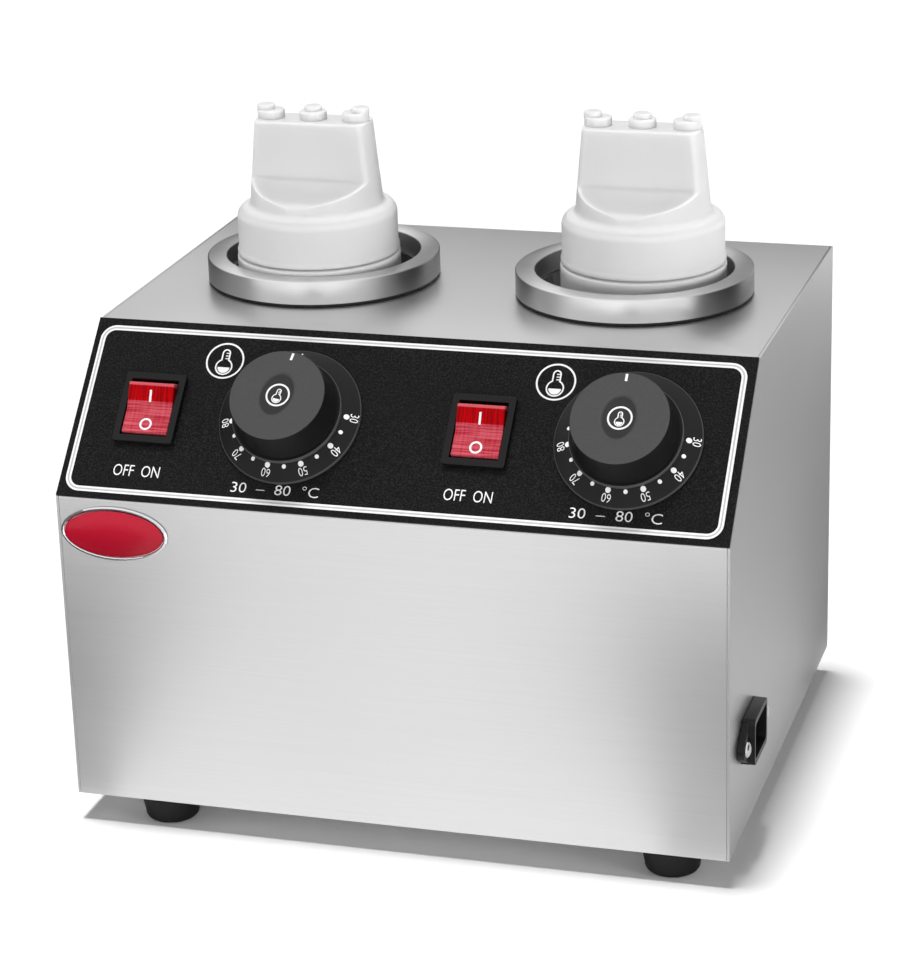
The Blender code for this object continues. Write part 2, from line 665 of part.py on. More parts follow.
def make_switch(side):
    """A snap-in switch: bezel, body and tabs in one housing, and a rocker on two trunnions."""
    where = (switch_x(side), SWITCH_UP, 0)
    seat = FASCIA_TOP + CLEARANCE
    bezel_size = (SWITCH_BEZEL_WIDTH, SWITCH_BEZEL_LENGTH, SWITCH_BEZEL_STANDS)
    bezel = block(bezel_size, 2 * SWITCH_BEZEL_EDGE, seat)
    housing = from_bmesh(f"{side}_switch_housing", bezel, KNOB_BLACK, panel, where)
    bottom = -WRAPPER_SHEET - SWITCH_BODY_DEPTH
    body_size = (SWITCH_BODY_WIDTH, SWITCH_BODY_LENGTH, seat - bottom + SWITCH_BEZEL_STANDS / 2)
    body = block(body_size, lift=bottom)
    combine(housing, from_bmesh(f"switch_body_{side}", body, None, panel, where), "UNION")
    pivot = rocker_pivot_height()
    swing = math.hypot(ROCKER_HALF_LENGTH, ROCKER_CORNER_HEIGHT)
    floor = pivot - ROCKER_BELOW_PIVOT - swing * math.sin(2 * ROCKER_HALF_TURN)
    mouth_depth = seat + SWITCH_BEZEL_STANDS - floor + OVERRUN
    mouth = block((SWITCH_MOUTH_WIDTH, SWITCH_MOUTH_LENGTH, mouth_depth), lift=floor)
    combine(housing, from_bmesh(f"switch_mouth_{side}", mouth, None, panel, where))
    axis_place = (switch_x(side), SWITCH_UP, pivot)
    recess = ROCKER_WIDTH / 2 + ROCKER_TRUNNION_REACH + CLEARANCE
    bore = rod(ROCKER_TRUNNION_RADIUS + CLEARANCE, -recess, recess)
    combine(housing, from_bmesh(f"trunnion_bore_{side}", bore, None, panel, axis_place, (0, math.pi / 2, 0)))
    for end in (-1, 1):
        tab = tab_shape(bottom)
        place = (switch_x(side), SWITCH_UP + end * SWITCH_TAB_PITCH / 2, 0)
        combine(housing, from_bmesh(f"switch_tab_{side}_{end}", tab, None, panel, place), "UNION")

    # The rocker's side view: two faces that meet in a shallow valley, and ends rounded about the pivot
    corner = (ROCKER_HALF_LENGTH, ROCKER_CORNER_HEIGHT)
    valley = ROCKER_CORNER_HEIGHT - ROCKER_HALF_LENGTH * math.tan(ROCKER_HALF_TURN)
    top = math.atan2(corner[1], corner[0])
    low = -math.asin(ROCKER_BELOW_PIVOT / swing)
    right_end = arc((0, 0), swing, top, low, 5)
    left_end = [(-x, y) for x, y in right_end[::-1]]
    outline = [(0, valley), *right_end, *left_end]
    shape = extruded(outline, ROCKER_WIDTH, -ROCKER_WIDTH / 2)
    # The outline's X and Y become the panel's Y and Z
    bmesh.ops.rotate(shape, verts=shape.verts, matrix=axes_swap())
    rocker = from_bmesh(f"{side}_switch_rocker", shape, RED, panel, axis_place, (ROCKER_HALF_TURN, 0, 0))
    reach = ROCKER_WIDTH / 2 + ROCKER_TRUNNION_REACH
    pin = rod(ROCKER_TRUNNION_RADIUS, -reach, reach)
    bmesh.ops.rotate(pin, verts=pin.verts, matrix=axes_swap())
    combine(rocker, from_bmesh(f"rocker_pin_{side}", pin, None, rocker), "UNION")


def tab_shape(bottom):
    """A push-on terminal that hangs from a control's bottom face, rooted in it."""
    size = (SWITCH_TAB_WIDTH, SWITCH_TAB_THICKNESS, SWITCH_TAB_REACH + OVERRUN)
    return block(size, lift=bottom - SWITCH_TAB_REACH)


def axes_swap():
    """Turns X, Y, Z into Y, Z, X."""
    return Matrix(((0, 0, 1), (1, 0, 0), (0, 1, 0)))


def make_control(side):
    """The fixed dial, the knob that turns over it, and the thermostat behind the panel with its shaft."""
    where = (knob_x(side), KNOB_UP, 0)
    seat = FASCIA_TOP + CLEARANCE
    dial = [(DIAL_BORE_RADIUS, seat), (DIAL_RADIUS, seat), (DIAL_RADIUS, seat + DIAL_RIM),
            (DIAL_CROWN_RADIUS, seat + DIAL_CROWN), (DIAL_BORE_RADIUS, seat + DIAL_CROWN)]
    from_bmesh(f"{side}_dial_bezel", turned(dial), KNOB_BLACK, panel, where)
    base = seat + DIAL_CROWN + CLEARANCE
    top = base + KNOB_STANDS
    bore = SHAFT_RADIUS + CLEARANCE
    bore_top = base + SHAFT_IN_KNOB + KNOB_BORE_TOP
    knob = [
        (0, base), (KNOB_SKIRT_RADIUS, base), (KNOB_SKIRT_RADIUS, base + KNOB_SKIRT),
        (KNOB_GRIP_RADIUS, base + KNOB_SKIRT), (KNOB_TOP_RADIUS, top - KNOB_EDGE),
        (KNOB_TOP_RADIUS - KNOB_EDGE, top), (KNOB_DIMPLE_RADIUS, top),
        (KNOB_DIMPLE_RADIUS - KNOB_DIMPLE, top - KNOB_DIMPLE), (0, top - KNOB_DIMPLE),
    ]
    turn = -KNOB_REST_TURN_LEFT if side == "left" else 0
    body = from_bmesh(f"{side}_control_knob", turned(knob), KNOB_BLACK, panel, where, (0, 0, turn))
    cutter = rod(bore, base - OVERRUN, bore_top)
    combine(body, from_bmesh(f"knob_bore_{side}", cutter, None, panel, where))

    under = -WRAPPER_SHEET - CLEARANCE
    foot = under - SHAFT_IN_BODY
    tip = base + SHAFT_IN_KNOB
    spindle = rod(SHAFT_RADIUS, foot, tip)
    shaft = from_bmesh(f"{side}_thermostat_shaft", spindle, BRIGHT, panel, where, (0, 0, turn))
    flat = block((2 * SHAFT_RADIUS + 2 * OVERRUN, SHAFT_RADIUS, SHAFT_IN_KNOB + OVERRUN), lift=base)
    flat_place = (where[0], where[1] + 3 * SHAFT_RADIUS / 2 - SHAFT_FLAT, 0)
    combine(shaft, from_bmesh(f"shaft_flat_{side}", flat, None, panel, flat_place))

    deep = under - THERMOSTAT_COLLAR - THERMOSTAT_DEPTH
    housing = block((THERMOSTAT_WIDTH, THERMOSTAT_LENGTH, THERMOSTAT_DEPTH), lift=deep)
    case = from_bmesh(f"{side}_thermostat_body", housing, FELT, panel, where)
    neck = rod(THERMOSTAT_COLLAR_RADIUS, under - THERMOSTAT_COLLAR - OVERRUN, under, MEDIUM_STEPS)
    combine(case, from_bmesh(f"thermostat_collar_{side}", neck, None, panel, where), "UNION")
    hollow = rod(SHAFT_RADIUS + CLEARANCE, foot - CLEARANCE, under + OVERRUN)
    combine(case, from_bmesh(f"thermostat_bore_{side}", hollow, None, panel, where))
    for end in (-1, 1):
        tab = tab_shape(deep)
        place = (knob_x(side), KNOB_UP + end * SWITCH_TAB_PITCH / 2, 0)
        combine(case, from_bmesh(f"thermostat_tab_{side}_{end}", tab, None, panel, place), "UNION")
    return deep


INLET_BODY_LENGTH = SHROUD_LENGTH - 2 * CLEARANCE
INLET_BODY_HEIGHT = SHROUD_HEIGHT - 4 * CLEARANCE
# The inlet's own frame: X towards the case's back, Y up, Z out of the right side
inlet = empty("inlet", warmer, (CASE_WIDTH / 2, INLET_Y, INLET_Z), (math.pi / 2, 0, math.pi / 2))


def make_inlet():
    """A screw-fixed mains inlet: flange with two ears, shroud, and three blades moulded into its floor."""
    seat = CLEARANCE
    half = INLET_SCREW_PITCH / 2
    ear = arc((half, 0), INLET_EAR_RADIUS, -INLET_EAR_SWEEP, INLET_EAR_SWEEP, 6)
    wide = SHROUD_LENGTH / 2 - SHROUD_CORNER
    outline = [(wide, -SHROUD_HEIGHT / 2), *ear, (wide, SHROUD_HEIGHT / 2)]
    outline += [(-x, -y) for x, y in outline]
    socket = from_bmesh("inlet_socket", extruded(outline, INLET_FLANGE_STANDS, seat), BLACK, inlet)
    shroud = block((SHROUD_LENGTH, SHROUD_HEIGHT, SHROUD_STANDS - seat), SHROUD_CORNER, seat)
    combine(socket, from_bmesh("inlet_shroud", shroud, None, inlet), "UNION")
    body_size = (INLET_BODY_LENGTH, INLET_BODY_HEIGHT, INLET_BODY_REACH + INLET_FLANGE_STANDS)
    body = block(body_size, lift=-INLET_BODY_REACH)
    combine(socket, from_bmesh("inlet_body", body, None, inlet), "UNION")
    cavity_size = (INLET_CAVITY_LENGTH, INLET_CAVITY_HEIGHT, INLET_CAVITY_DEPTH + OVERRUN)
    cavity = block(cavity_size, SHROUD_CORNER, SHROUD_STANDS - INLET_CAVITY_DEPTH)
    combine(socket, from_bmesh("inlet_cavity", cavity, None, inlet))
    places = {"live": (-PIN_PITCH, 0), "neutral": (PIN_PITCH, 0), "earth": (0, PIN_EARTH_DROP)}
    for name, (x, y) in places.items():
        tail = -INLET_BODY_REACH - PIN_TAIL
        hole_size = (PIN_THICKNESS + 2 * CLEARANCE, PIN_WIDTH + 2 * CLEARANCE, INLET_CAVITY_DEPTH)
        hole = block(hole_size, lift=-INLET_BODY_REACH - OVERRUN)
        combine(socket, from_bmesh(f"pin_slot_{name}", hole, None, inlet, (x, y, 0)))
        pin = block((PIN_THICKNESS, PIN_WIDTH, SHROUD_STANDS - PIN_RECESS - tail), lift=tail)
        from_bmesh(f"inlet_pin_{name}", pin, BRASS, inlet, (x, y, 0))
    for end, name in ((-1, "front"), (1, "rear")):
        hole = rod(INLET_SCREW_BORE, -OVERRUN, INLET_FLANGE_STANDS + OVERRUN)
        combine(socket, from_bmesh(f"ear_hole_{name}", hole, None, inlet, (end * half, 0, 0)))
        head = seat + INLET_FLANGE_STANDS + CLEARANCE
        crown = arc((0, head), INLET_SCREW_HEAD_RADIUS, 0, math.pi / 2, 4)
        dome = [(x, head + (y - head) * INLET_SCREW_HEAD / INLET_SCREW_HEAD_RADIUS) for x, y in crown[:-1]]
        screw = [
            (0, -INLET_SCREW_REACH), (INLET_SCREW_RADIUS, -INLET_SCREW_REACH),
            (INLET_SCREW_RADIUS, head), *dome, (0, head + INLET_SCREW_HEAD),
        ]
        from_bmesh(f"inlet_screw_{name}", turned(screw, SMALL_STEPS), BRIGHT, inlet, (end * half, 0, 0))


def ellipse_rings(half_width, half_height, levels, steps=32):
    """Rings of an ellipse, each level giving (inset, z)."""
    turns = [2 * math.pi * i / steps for i in range(steps)]
    rings = []
    for inset, z in levels:
        wide = half_width - inset
        high = half_height - inset
        rings.append([(wide * math.cos(turn), high * math.sin(turn), z) for turn in turns])
    return rings


def make_badge():
    """A bright oval rim stuck to the front, with a blank domed inlay."""
    # The badge's own frame: X right, Y up, Z out of the front
    place = (BADGE_INSET_X - CASE_WIDTH / 2, 0, FRONT_HEIGHT - BADGE_INSET_Z)
    badge = empty("badge", warmer, place, (math.pi / 2, 0, 0))
    half = (BADGE_WIDTH / 2, BADGE_HEIGHT / 2)
    bed = CLEARANCE * 2
    crest = BADGE_STANDS - CLEARANCE
    levels = [
        (0, CLEARANCE), (0, BADGE_STANDS / 2), (BADGE_RIM / 3, crest), (BADGE_RIM * 2 / 3, crest),
        (BADGE_RIM, BADGE_STANDS / 2), (BADGE_RIM, bed),
    ]
    from_bmesh("badge_rim", ring_of_bodies(ellipse_rings(*half, levels)), BRIGHT, badge)
    inset = BADGE_RIM + CLEARANCE
    base = bed + CLEARANCE
    span = BADGE_HEIGHT / 2 - inset
    height = BADGE_STANDS - base
    dome = [(inset, base + height * BADGE_WALL_SHARE)]
    for share in BADGE_DOME_SHARES:
        dome.append((inset + span * share, base + height * math.sqrt(1 - (1 - share) ** 2)))
    from_bmesh("badge_inlay", ring_of_bodies(ellipse_rings(*half, [(inset, base), *dome])), BADGE_RED, badge)


def bottle_place(side):
    offset = LEFT_BOTTLE_PLACE if side == "left" else RIGHT_BOTTLE_PLACE
    x, y = well_place(side)
    return x + offset[0], y + offset[1], 0


def liner_top():
    return CAP_SHOULDER - CAP_WALL - CLEARANCE


def rim_top():
    return liner_top() - LINER_THICKNESS - CLEARANCE


def make_bottle(side):
    """A wide-mouth squeeze bottle that stands on the cup's floor, with a helical thread on its neck."""
    low = -WELL_DEPTH + CLEARANCE
    floor = low + BOTTLE_FLOOR
    radius = BOTTLE_RADIUS
    heel = (radius - BOTTLE_FOOT_RADIUS, low + BOTTLE_FOOT_RADIUS)
    foot = arc(heel, BOTTLE_FOOT_RADIUS, -math.pi / 2, 0, 3)
    inside = radius - BOTTLE_WALL
    neck_inside = NECK_RADIUS - BOTTLE_WALL
    shoulder = SHOULDER_TOP - SHOULDER_DROP
    outline = [
        (0, low), *foot, (radius, shoulder - SHOULDER_DROP), (radius - BOTTLE_WALL, shoulder),
        (NECK_RADIUS, SHOULDER_TOP), (NECK_RADIUS, rim_top()), (neck_inside, rim_top()),
        (neck_inside, SHOULDER_TOP - BOTTLE_WALL), (inside - BOTTLE_WALL, shoulder - BOTTLE_WALL),
        (inside, shoulder - 2 * SHOULDER_DROP), (inside, floor + BOTTLE_FOOT_RADIUS),
        (inside - BOTTLE_FOOT_RADIUS / 3, floor + BOTTLE_FOOT_RADIUS / 3),
        (inside - BOTTLE_FOOT_RADIUS, floor), (0, floor),
    ]
    made = from_bmesh(f"{side}_bottle", turned(outline), MILKY, deck, bottle_place(side))
    combine(made, from_bmesh(f"thread_{side}", thread_shape(), None, made), "UNION")
    return made


def thread_shape(per_turn=18):
    """A ridge of triangular section along a helix, rooted inside the neck's wall."""
    sections = []
    root = NECK_RADIUS - BOTTLE_WALL / 2
    crest = NECK_RADIUS + THREAD_STANDS
    for i in range(round(THREAD_TURNS * per_turn) + 1):
        angle = 2 * math.pi * i / per_turn
        z = THREAD_START + THREAD_PITCH * i / per_turn
        around = Vector((math.cos(angle), math.sin(angle), 0))
        sections.append([
            (*(around * root).xy, z - THREAD_HALF_BASE), (*(around * crest).xy, z - THREAD_HALF_BASE / 3),
            (*(around * crest).xy, z + THREAD_HALF_BASE / 3), (*(around * root).xy, z + THREAD_HALF_BASE),
        ])
    return ring_of_bodies(sections)


def spout_cutter(name, end, half_thickness, floor, parent, place):
    """What is cut away beside the spout: upright at half_thickness, over a floor that slopes outwards."""
    reach = CAP_RADIUS + CAP_BEAD
    drop = (reach - half_thickness) * SPOUT_LEDGE_SLOPE
    top = SPOUT_TOP + OVERRUN
    outline = [(half_thickness, floor), (reach, floor - drop), (reach, top), (half_thickness, top)]
    shape = extruded([(end * y, z) for y, z in outline], 2 * reach, -reach)
    # The outline's X and Y become Y and Z
    bmesh.ops.rotate(shape, verts=shape.verts, matrix=axes_swap())
    return from_bmesh(name, shape, None, parent, place)


def make_cap(side):
    """A screw cap: a round skirt and shoulder under a cone, cut flat on both sides, with three nozzles."""
    bead_top = CAP_BOTTOM + CAP_BEAD_HEIGHT
    centre = (CAP_RADIUS - CAP_SHOULDER_RADIUS, CAP_SHOULDER - CAP_SHOULDER_RADIUS)
    outside = [
        (0, CAP_BOTTOM), (CAP_RADIUS + CAP_BEAD / 2, CAP_BOTTOM),
        (CAP_RADIUS + CAP_BEAD, CAP_BOTTOM + CAP_BEAD),
        (CAP_RADIUS + CAP_BEAD / 2, bead_top - CAP_BEAD / 2), (CAP_RADIUS, bead_top),
        *arc(centre, CAP_SHOULDER_RADIUS, 0, math.pi / 2, 5),
        (SPOUT_BASE_RADIUS, CAP_SHOULDER), (SPOUT_TOP_RADIUS, SPOUT_TOP), (0, SPOUT_TOP),
    ]
    bore = CAP_RADIUS - CAP_WALL
    ceiling = CAP_SHOULDER - CAP_WALL
    inside = [
        (0, CAP_BOTTOM - OVERRUN), (bore, CAP_BOTTOM - OVERRUN), (bore, ceiling),
        (SPOUT_BASE_RADIUS - SPOUT_WALL, ceiling), (SPOUT_TOP_RADIUS - SPOUT_WALL, SPOUT_TOP - SPOUT_WALL),
        (0, SPOUT_TOP - SPOUT_WALL),
    ]
    where = bottle_place(side)
    hollow = from_bmesh(f"cap_hollow_{side}", turned(inside), None, deck, where)
    made = from_bmesh(f"{side}_cap", turned(outside), NATURAL, deck, where)
    for end, name in ((-1, "front"), (1, "back")):
        inner = (SPOUT_HALF_THICKNESS - SPOUT_WALL, SPOUT_FACE_BOTTOM - SPOUT_WALL)
        outer = (SPOUT_HALF_THICKNESS, SPOUT_FACE_BOTTOM)
        combine(hollow, spout_cutter(f"hollow_{name}_{side}", end, *inner, deck, where))
        combine(made, spout_cutter(f"spout_{name}_{side}", end, *outer, deck, where))
    combine(made, hollow)
    for slot, name in ((-1, "left"), (0, "middle"), (1, "right")):
        collar_top = SPOUT_TOP + NOZZLE_COLLAR
        collar = rod(NOZZLE_COLLAR_RADIUS, SPOUT_TOP - NOZZLE_ROOT, collar_top, NOZZLE_STEPS)
        place = (where[0] + slot * NOZZLE_PITCH, where[1], 0)
        combine(made, from_bmesh(f"nozzle_collar_{side}_{name}", collar, None, deck, place), "UNION")
        tip_bottom = collar_top - NOZZLE_ROOT
        tip_top = collar_top + NOZZLE_TIP
        centre = (NOZZLE_TIP_RADIUS - NOZZLE_ROOT, tip_top - NOZZLE_ROOT)
        round_edge = arc(centre, NOZZLE_ROOT, 0, math.pi / 2, 3)
        outline = [(0, tip_bottom), (NOZZLE_TIP_RADIUS, tip_bottom), *round_edge, (0, tip_top)]
        tip = turned(outline, NOZZLE_STEPS)
        place = (where[0] + slot * (NOZZLE_PITCH + NOZZLE_TIP_OUTWARD), where[1], 0)
        combine(made, from_bmesh(f"nozzle_tip_{side}_{name}", tip, None, deck, place), "UNION")
    low = rim_top() + CLEARANCE
    high = low + LINER_THICKNESS
    hole = NECK_RADIUS - LINER_WIDTH
    liner = [(hole, low), (NECK_RADIUS, low), (NECK_RADIUS, high), (hole, high)]
    from_bmesh(f"{side}_cap_liner", turned(liner), FELT, deck, where)


def make_sensor(side, thermostat_deep):
    """The thermostat's capillary, from under the body to the bulb that lies along the cup's front."""
    x, y = well_place(side)
    exit_x = knob_x(side) - THERMOSTAT_WIDTH / 4
    start = on_panel(exit_x, KNOB_UP, thermostat_deep - CLEARANCE)
    down = on_panel(exit_x, KNOB_UP, thermostat_deep - BAND_LIFT)
    bulb_y = y - WELL_RADIUS - WELL_WALL - CLEARANCE - BULB_RADIUS
    bulb_low = DECK_HEIGHT - WELL_DEPTH + BAND_LIFT + BAND_HEIGHT + BULB_ABOVE_BAND
    entry = Vector((x, bulb_y, bulb_low))
    sag = Vector((x, bulb_y - 4 * BULB_RADIUS, bulb_low - 2 * BULB_RADIUS))
    under = Vector((x, bulb_y - BULB_RADIUS, bulb_low - BULB_RADIUS))
    thin = smooth_route([start, down, (down + sag) / 2, sag, under, entry])
    step = BULB_RADIUS / 2
    thick = [entry + Vector((0, 0, step)), entry + Vector((0, 0, BULB_LENGTH))]
    widths = [1] * len(thin) + [BULB_RADIUS / CAPILLARY_RADIUS] * len(thick)
    tube(f"{side}_thermostat_sensor", thin + thick, CAPILLARY_RADIUS, COPPER, warmer, widths)


def make_leads(thermostat_deep):
    """The silicone leads: inlet to switch, switch to thermostat, thermostat to heater, for each well."""
    switch_deep = -WRAPPER_SHEET - SWITCH_BODY_DEPTH - SWITCH_TAB_REACH - LEAD_END_GAP
    deep = thermostat_deep - SWITCH_TAB_REACH - LEAD_END_GAP
    half = SWITCH_TAB_PITCH / 2
    drop = 4 * LEAD_RADIUS
    pin_x = CASE_WIDTH / 2 - INLET_BODY_REACH - PIN_TAIL - LEAD_END_GAP
    for side, pin_y in (("left", -PIN_PITCH), ("right", PIN_PITCH)):
        start = Vector((pin_x, INLET_Y + pin_y, INLET_Z))
        end = on_panel(switch_x(side), SWITCH_UP - half, switch_deep)
        under = on_panel(switch_x(side), SWITCH_UP - half, switch_deep - drop)
        level = FRONT_HEIGHT * LEAD_LEVEL_SHARES[side]
        supply = smooth_route([
            start, start - Vector((drop, 0, 0)), Vector((pin_x - 4 * drop, start.y, level)),
            Vector((switch_x(side) + 2 * drop, start.y, level + drop)),
            Vector((switch_x(side), under.y, under.z - 4 * drop)), under, end,
        ])
        tube(f"{side}_supply_lead", supply, LEAD_RADIUS, LEAD, warmer, sides=1)
        first = on_panel(switch_x(side), SWITCH_UP + half, switch_deep)
        first_down = on_panel(switch_x(side), SWITCH_UP + half, switch_deep - drop)
        last = on_panel(knob_x(side), KNOB_UP - half, deep)
        last_down = on_panel(knob_x(side), KNOB_UP - half, deep - drop)
        middle = (first_down + last_down) / 2 - Vector((0, 0, drop))
        switched = smooth_route([first, first_down, middle, last_down, last])
        tube(f"{side}_switch_lead", switched, LEAD_RADIUS, LEAD, warmer, sides=1)
        x, y = well_place(side)
        outer = WELL_RADIUS + WELL_WALL + BAND_THICKNESS + SLEEVE_THICKNESS + 4 * CLEARANCE
        way = on_panel(knob_x(side), KNOB_UP + half, deep)
        way_down = on_panel(knob_x(side), KNOB_UP + half, deep - drop)
        low = DECK_HEIGHT - WELL_DEPTH + BAND_LIFT
        beside = x + outer + LEAD_RADIUS + CLEARANCE
        band_x = x + WELL_RADIUS + WELL_WALL + BAND_THICKNESS
        heated = smooth_route([
            way, way_down, Vector((band_x, y - outer, low + BAND_HEIGHT / 2)),
            Vector((beside, y, low + drop)), Vector((beside - drop / 2, y, low - drop)),
            Vector((band_x, y, low - drop)), Vector((band_x, y, low - LEAD_END_GAP)),
        ])
        tube(f"{side}_heater_lead", heated, LEAD_RADIUS, LEAD, warmer, sides=1)


make_wrapper()
for side in SIDES:
    make_side_panel(side)
make_base_pan()
for where, place in foot_places().items():
    make_foot(where, place)
make_fascia()
for side in SIDES:
    make_well(side)
    make_heater(side)
    make_switch(side)
    make_sensor(side, make_control(side))
    make_bottle(side)
    make_cap(side)
make_inlet()
make_badge()
make_leads(-WRAPPER_SHEET - CLEARANCE - THERMOSTAT_COLLAR - THERMOSTAT_DEPTH)
bpy.context.view_layer.update()
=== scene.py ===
import math

import bmesh
import bpy
from mathutils import Matrix, Vector


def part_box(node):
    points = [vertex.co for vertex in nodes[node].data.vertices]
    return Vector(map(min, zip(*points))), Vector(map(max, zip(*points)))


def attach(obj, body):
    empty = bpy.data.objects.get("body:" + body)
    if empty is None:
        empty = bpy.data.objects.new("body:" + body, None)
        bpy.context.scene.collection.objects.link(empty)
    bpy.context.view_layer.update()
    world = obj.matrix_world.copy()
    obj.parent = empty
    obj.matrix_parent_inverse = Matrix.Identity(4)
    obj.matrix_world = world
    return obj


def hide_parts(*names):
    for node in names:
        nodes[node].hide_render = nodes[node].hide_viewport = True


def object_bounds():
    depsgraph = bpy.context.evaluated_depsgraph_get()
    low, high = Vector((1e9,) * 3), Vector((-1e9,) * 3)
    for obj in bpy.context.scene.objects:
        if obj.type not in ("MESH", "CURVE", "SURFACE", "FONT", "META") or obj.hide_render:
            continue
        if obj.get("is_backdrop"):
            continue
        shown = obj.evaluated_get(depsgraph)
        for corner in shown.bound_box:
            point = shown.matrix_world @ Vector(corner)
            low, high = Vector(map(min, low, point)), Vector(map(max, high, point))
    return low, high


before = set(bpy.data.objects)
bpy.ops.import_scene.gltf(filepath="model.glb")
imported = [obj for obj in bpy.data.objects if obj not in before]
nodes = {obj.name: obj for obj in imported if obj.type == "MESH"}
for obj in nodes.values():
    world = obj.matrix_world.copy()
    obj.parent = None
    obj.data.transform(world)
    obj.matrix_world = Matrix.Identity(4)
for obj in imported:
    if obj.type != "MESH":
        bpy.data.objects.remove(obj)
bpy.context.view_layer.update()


# Sheet case
# A front, slope, deck and back bent from one stainless sheet, closed by two flat end sheets and a
# folded pan below. The sheet is satin brushed along its length, so streaks run across the front.

class Field:
    """A number that varies over a surface. Sums and products of fields add the Math nodes they need."""

    def __init__(self, shading, socket):
        self.shading = shading
        self.socket = socket

    def math(self, operation, *values):
        return self.shading.node("ShaderNodeMath", {"operation": operation}, values)

    def __add__(self, other):
        return self.math("ADD", self, other)

    def __sub__(self, other):
        return self.math("SUBTRACT", self, other)

    def __rsub__(self, other):
        return self.math("SUBTRACT", other, self)

    def __mul__(self, other):
        return self.math("MULTIPLY", self, other)

    def __pow__(self, other):
        return self.math("POWER", self, other)

    __radd__ = __add__
    __rmul__ = __mul__

    def between(self, low, high):
        """0 below low, 1 above high, and smooth between them."""
        settings = {"interpolation_type": "SMOOTHSTEP"}
        sockets = {"Value": self, "From Min": low, "From Max": high}
        return self.shading.node("ShaderNodeMapRange", settings, sockets)


# The Mix node's sockets for colours: its share, its two colours, and its result
MIX_SHARE, MIX_FIRST, MIX_SECOND, MIX_RESULT = 0, 6, 7, 2


class Shading:
    """The nodes of one material or of the world."""

    def __init__(self, tree):
        self.tree = tree

    def node(self, kind, settings, values, output=0):
        """Adds a node from its type, its settings and its sockets' values or fields, and gives an output."""
        made = self.tree.nodes.new(kind)
        for name, value in settings.items():
            setattr(made, name, value)
        named = values.items() if isinstance(values, dict) else enumerate(values)
        for name, value in named:
            self.feed(made.inputs[name], value)
        return Field(self, made.outputs[output])

    def feed(self, socket, value):
        if isinstance(value, Field):
            self.tree.links.new(value.socket, socket)
        else:
            socket.default_value = value

    def place(self):
        return self.node("ShaderNodeTexCoord", {}, {}, "Object")

    def along(self, axis):
        """The place along one axis of the piece, in metres."""
        return self.node("ShaderNodeSeparateXYZ", {}, {"Vector": self.place()}, axis)

    def noise(self, per_metre, detail=2.0, roughness=0.5):
        """Noise from 0 to 1, with its own scale along each axis."""
        spread = self.node("ShaderNodeVectorMath", {"operation": "MULTIPLY"}, [self.place(), per_metre])
        values = {"Vector": spread, "Scale": 1.0, "Detail": detail, "Roughness": roughness}
        return self.node("ShaderNodeTexNoise", {}, values, "Fac")

    def mix(self, share, first, second):
        """A colour between two others, each given as a colour or as a field."""
        first, second = [(*end, 1) if isinstance(end, tuple) else end for end in (first, second)]
        values = {MIX_SHARE: share, MIX_FIRST: first, MIX_SECOND: second}
        return self.node("ShaderNodeMix", {"data_type": "RGBA"}, values, MIX_RESULT)

    def bump(self, height, depth, strength=1.0):
        values = {"Height": height, "Distance": depth, "Strength": strength}
        return self.node("ShaderNodeBump", {}, values, "Normal")


class Finish(Shading):
    """The surface of a piece: one Principled shader, and the nodes that vary it."""

    def __init__(self, name, color, roughness, **sockets):
        self.material = bpy.data.materials.new(name)
        self.material.use_nodes = True
        super().__init__(self.material.node_tree)
        self.shader = self.tree.nodes["Principled BSDF"]
        self.set(Base_Color=(*color, 1), Roughness=roughness, **sockets)

    def set(self, **sockets):
        """Feeds the shader's sockets, which are named with underscores here."""
        for name, value in sockets.items():
            self.feed(self.shader.inputs[name.replace("_", " ")], value)


BRUSHING_DEPTH = 0.00002


def brushed(name, per_metre, dark, pale, roughness):
    """Satin steel: streaks in colour, gloss and relief, long with the brushing and short across it."""
    steel = Finish(name, pale, roughness, Metallic=1.0)
    streaks = steel.noise(per_metre, detail=3.0, roughness=0.65)
    clouds = steel.noise((9, 9, 9), detail=1.0)
    steel.set(
        Base_Color=steel.mix(streaks * 0.55 + clouds * 0.45, dark, pale),
        Roughness=streaks * 0.12 + clouds * 0.06 + (roughness - 0.09),
        Normal=steel.bump(streaks, BRUSHING_DEPTH, 0.5),
    )
    return steel.material


def coat(material, *names):
    """Gives CAD nodes this finish."""
    for name in names:
        nodes[name].data.materials.clear()
        nodes[name].data.materials.append(material)


case_steel = brushed("satin_steel_across", (14, 1500, 1500), (0.56, 0.56, 0.56), (0.68, 0.68, 0.68), 0.34)
end_steel = brushed("satin_steel_ends", (1500, 14, 1500), (0.52, 0.52, 0.52), (0.63, 0.63, 0.63), 0.36)


SHEET_EDGE = 0.00020
WELD = 0.000002
SHARP = math.radians(32)
BEVELLED = math.radians(40)
FLAT = math.radians(1)
# The wrapper is let out sideways until it meets the end sheets
WRAPPER_LET_OUT = 1.0013


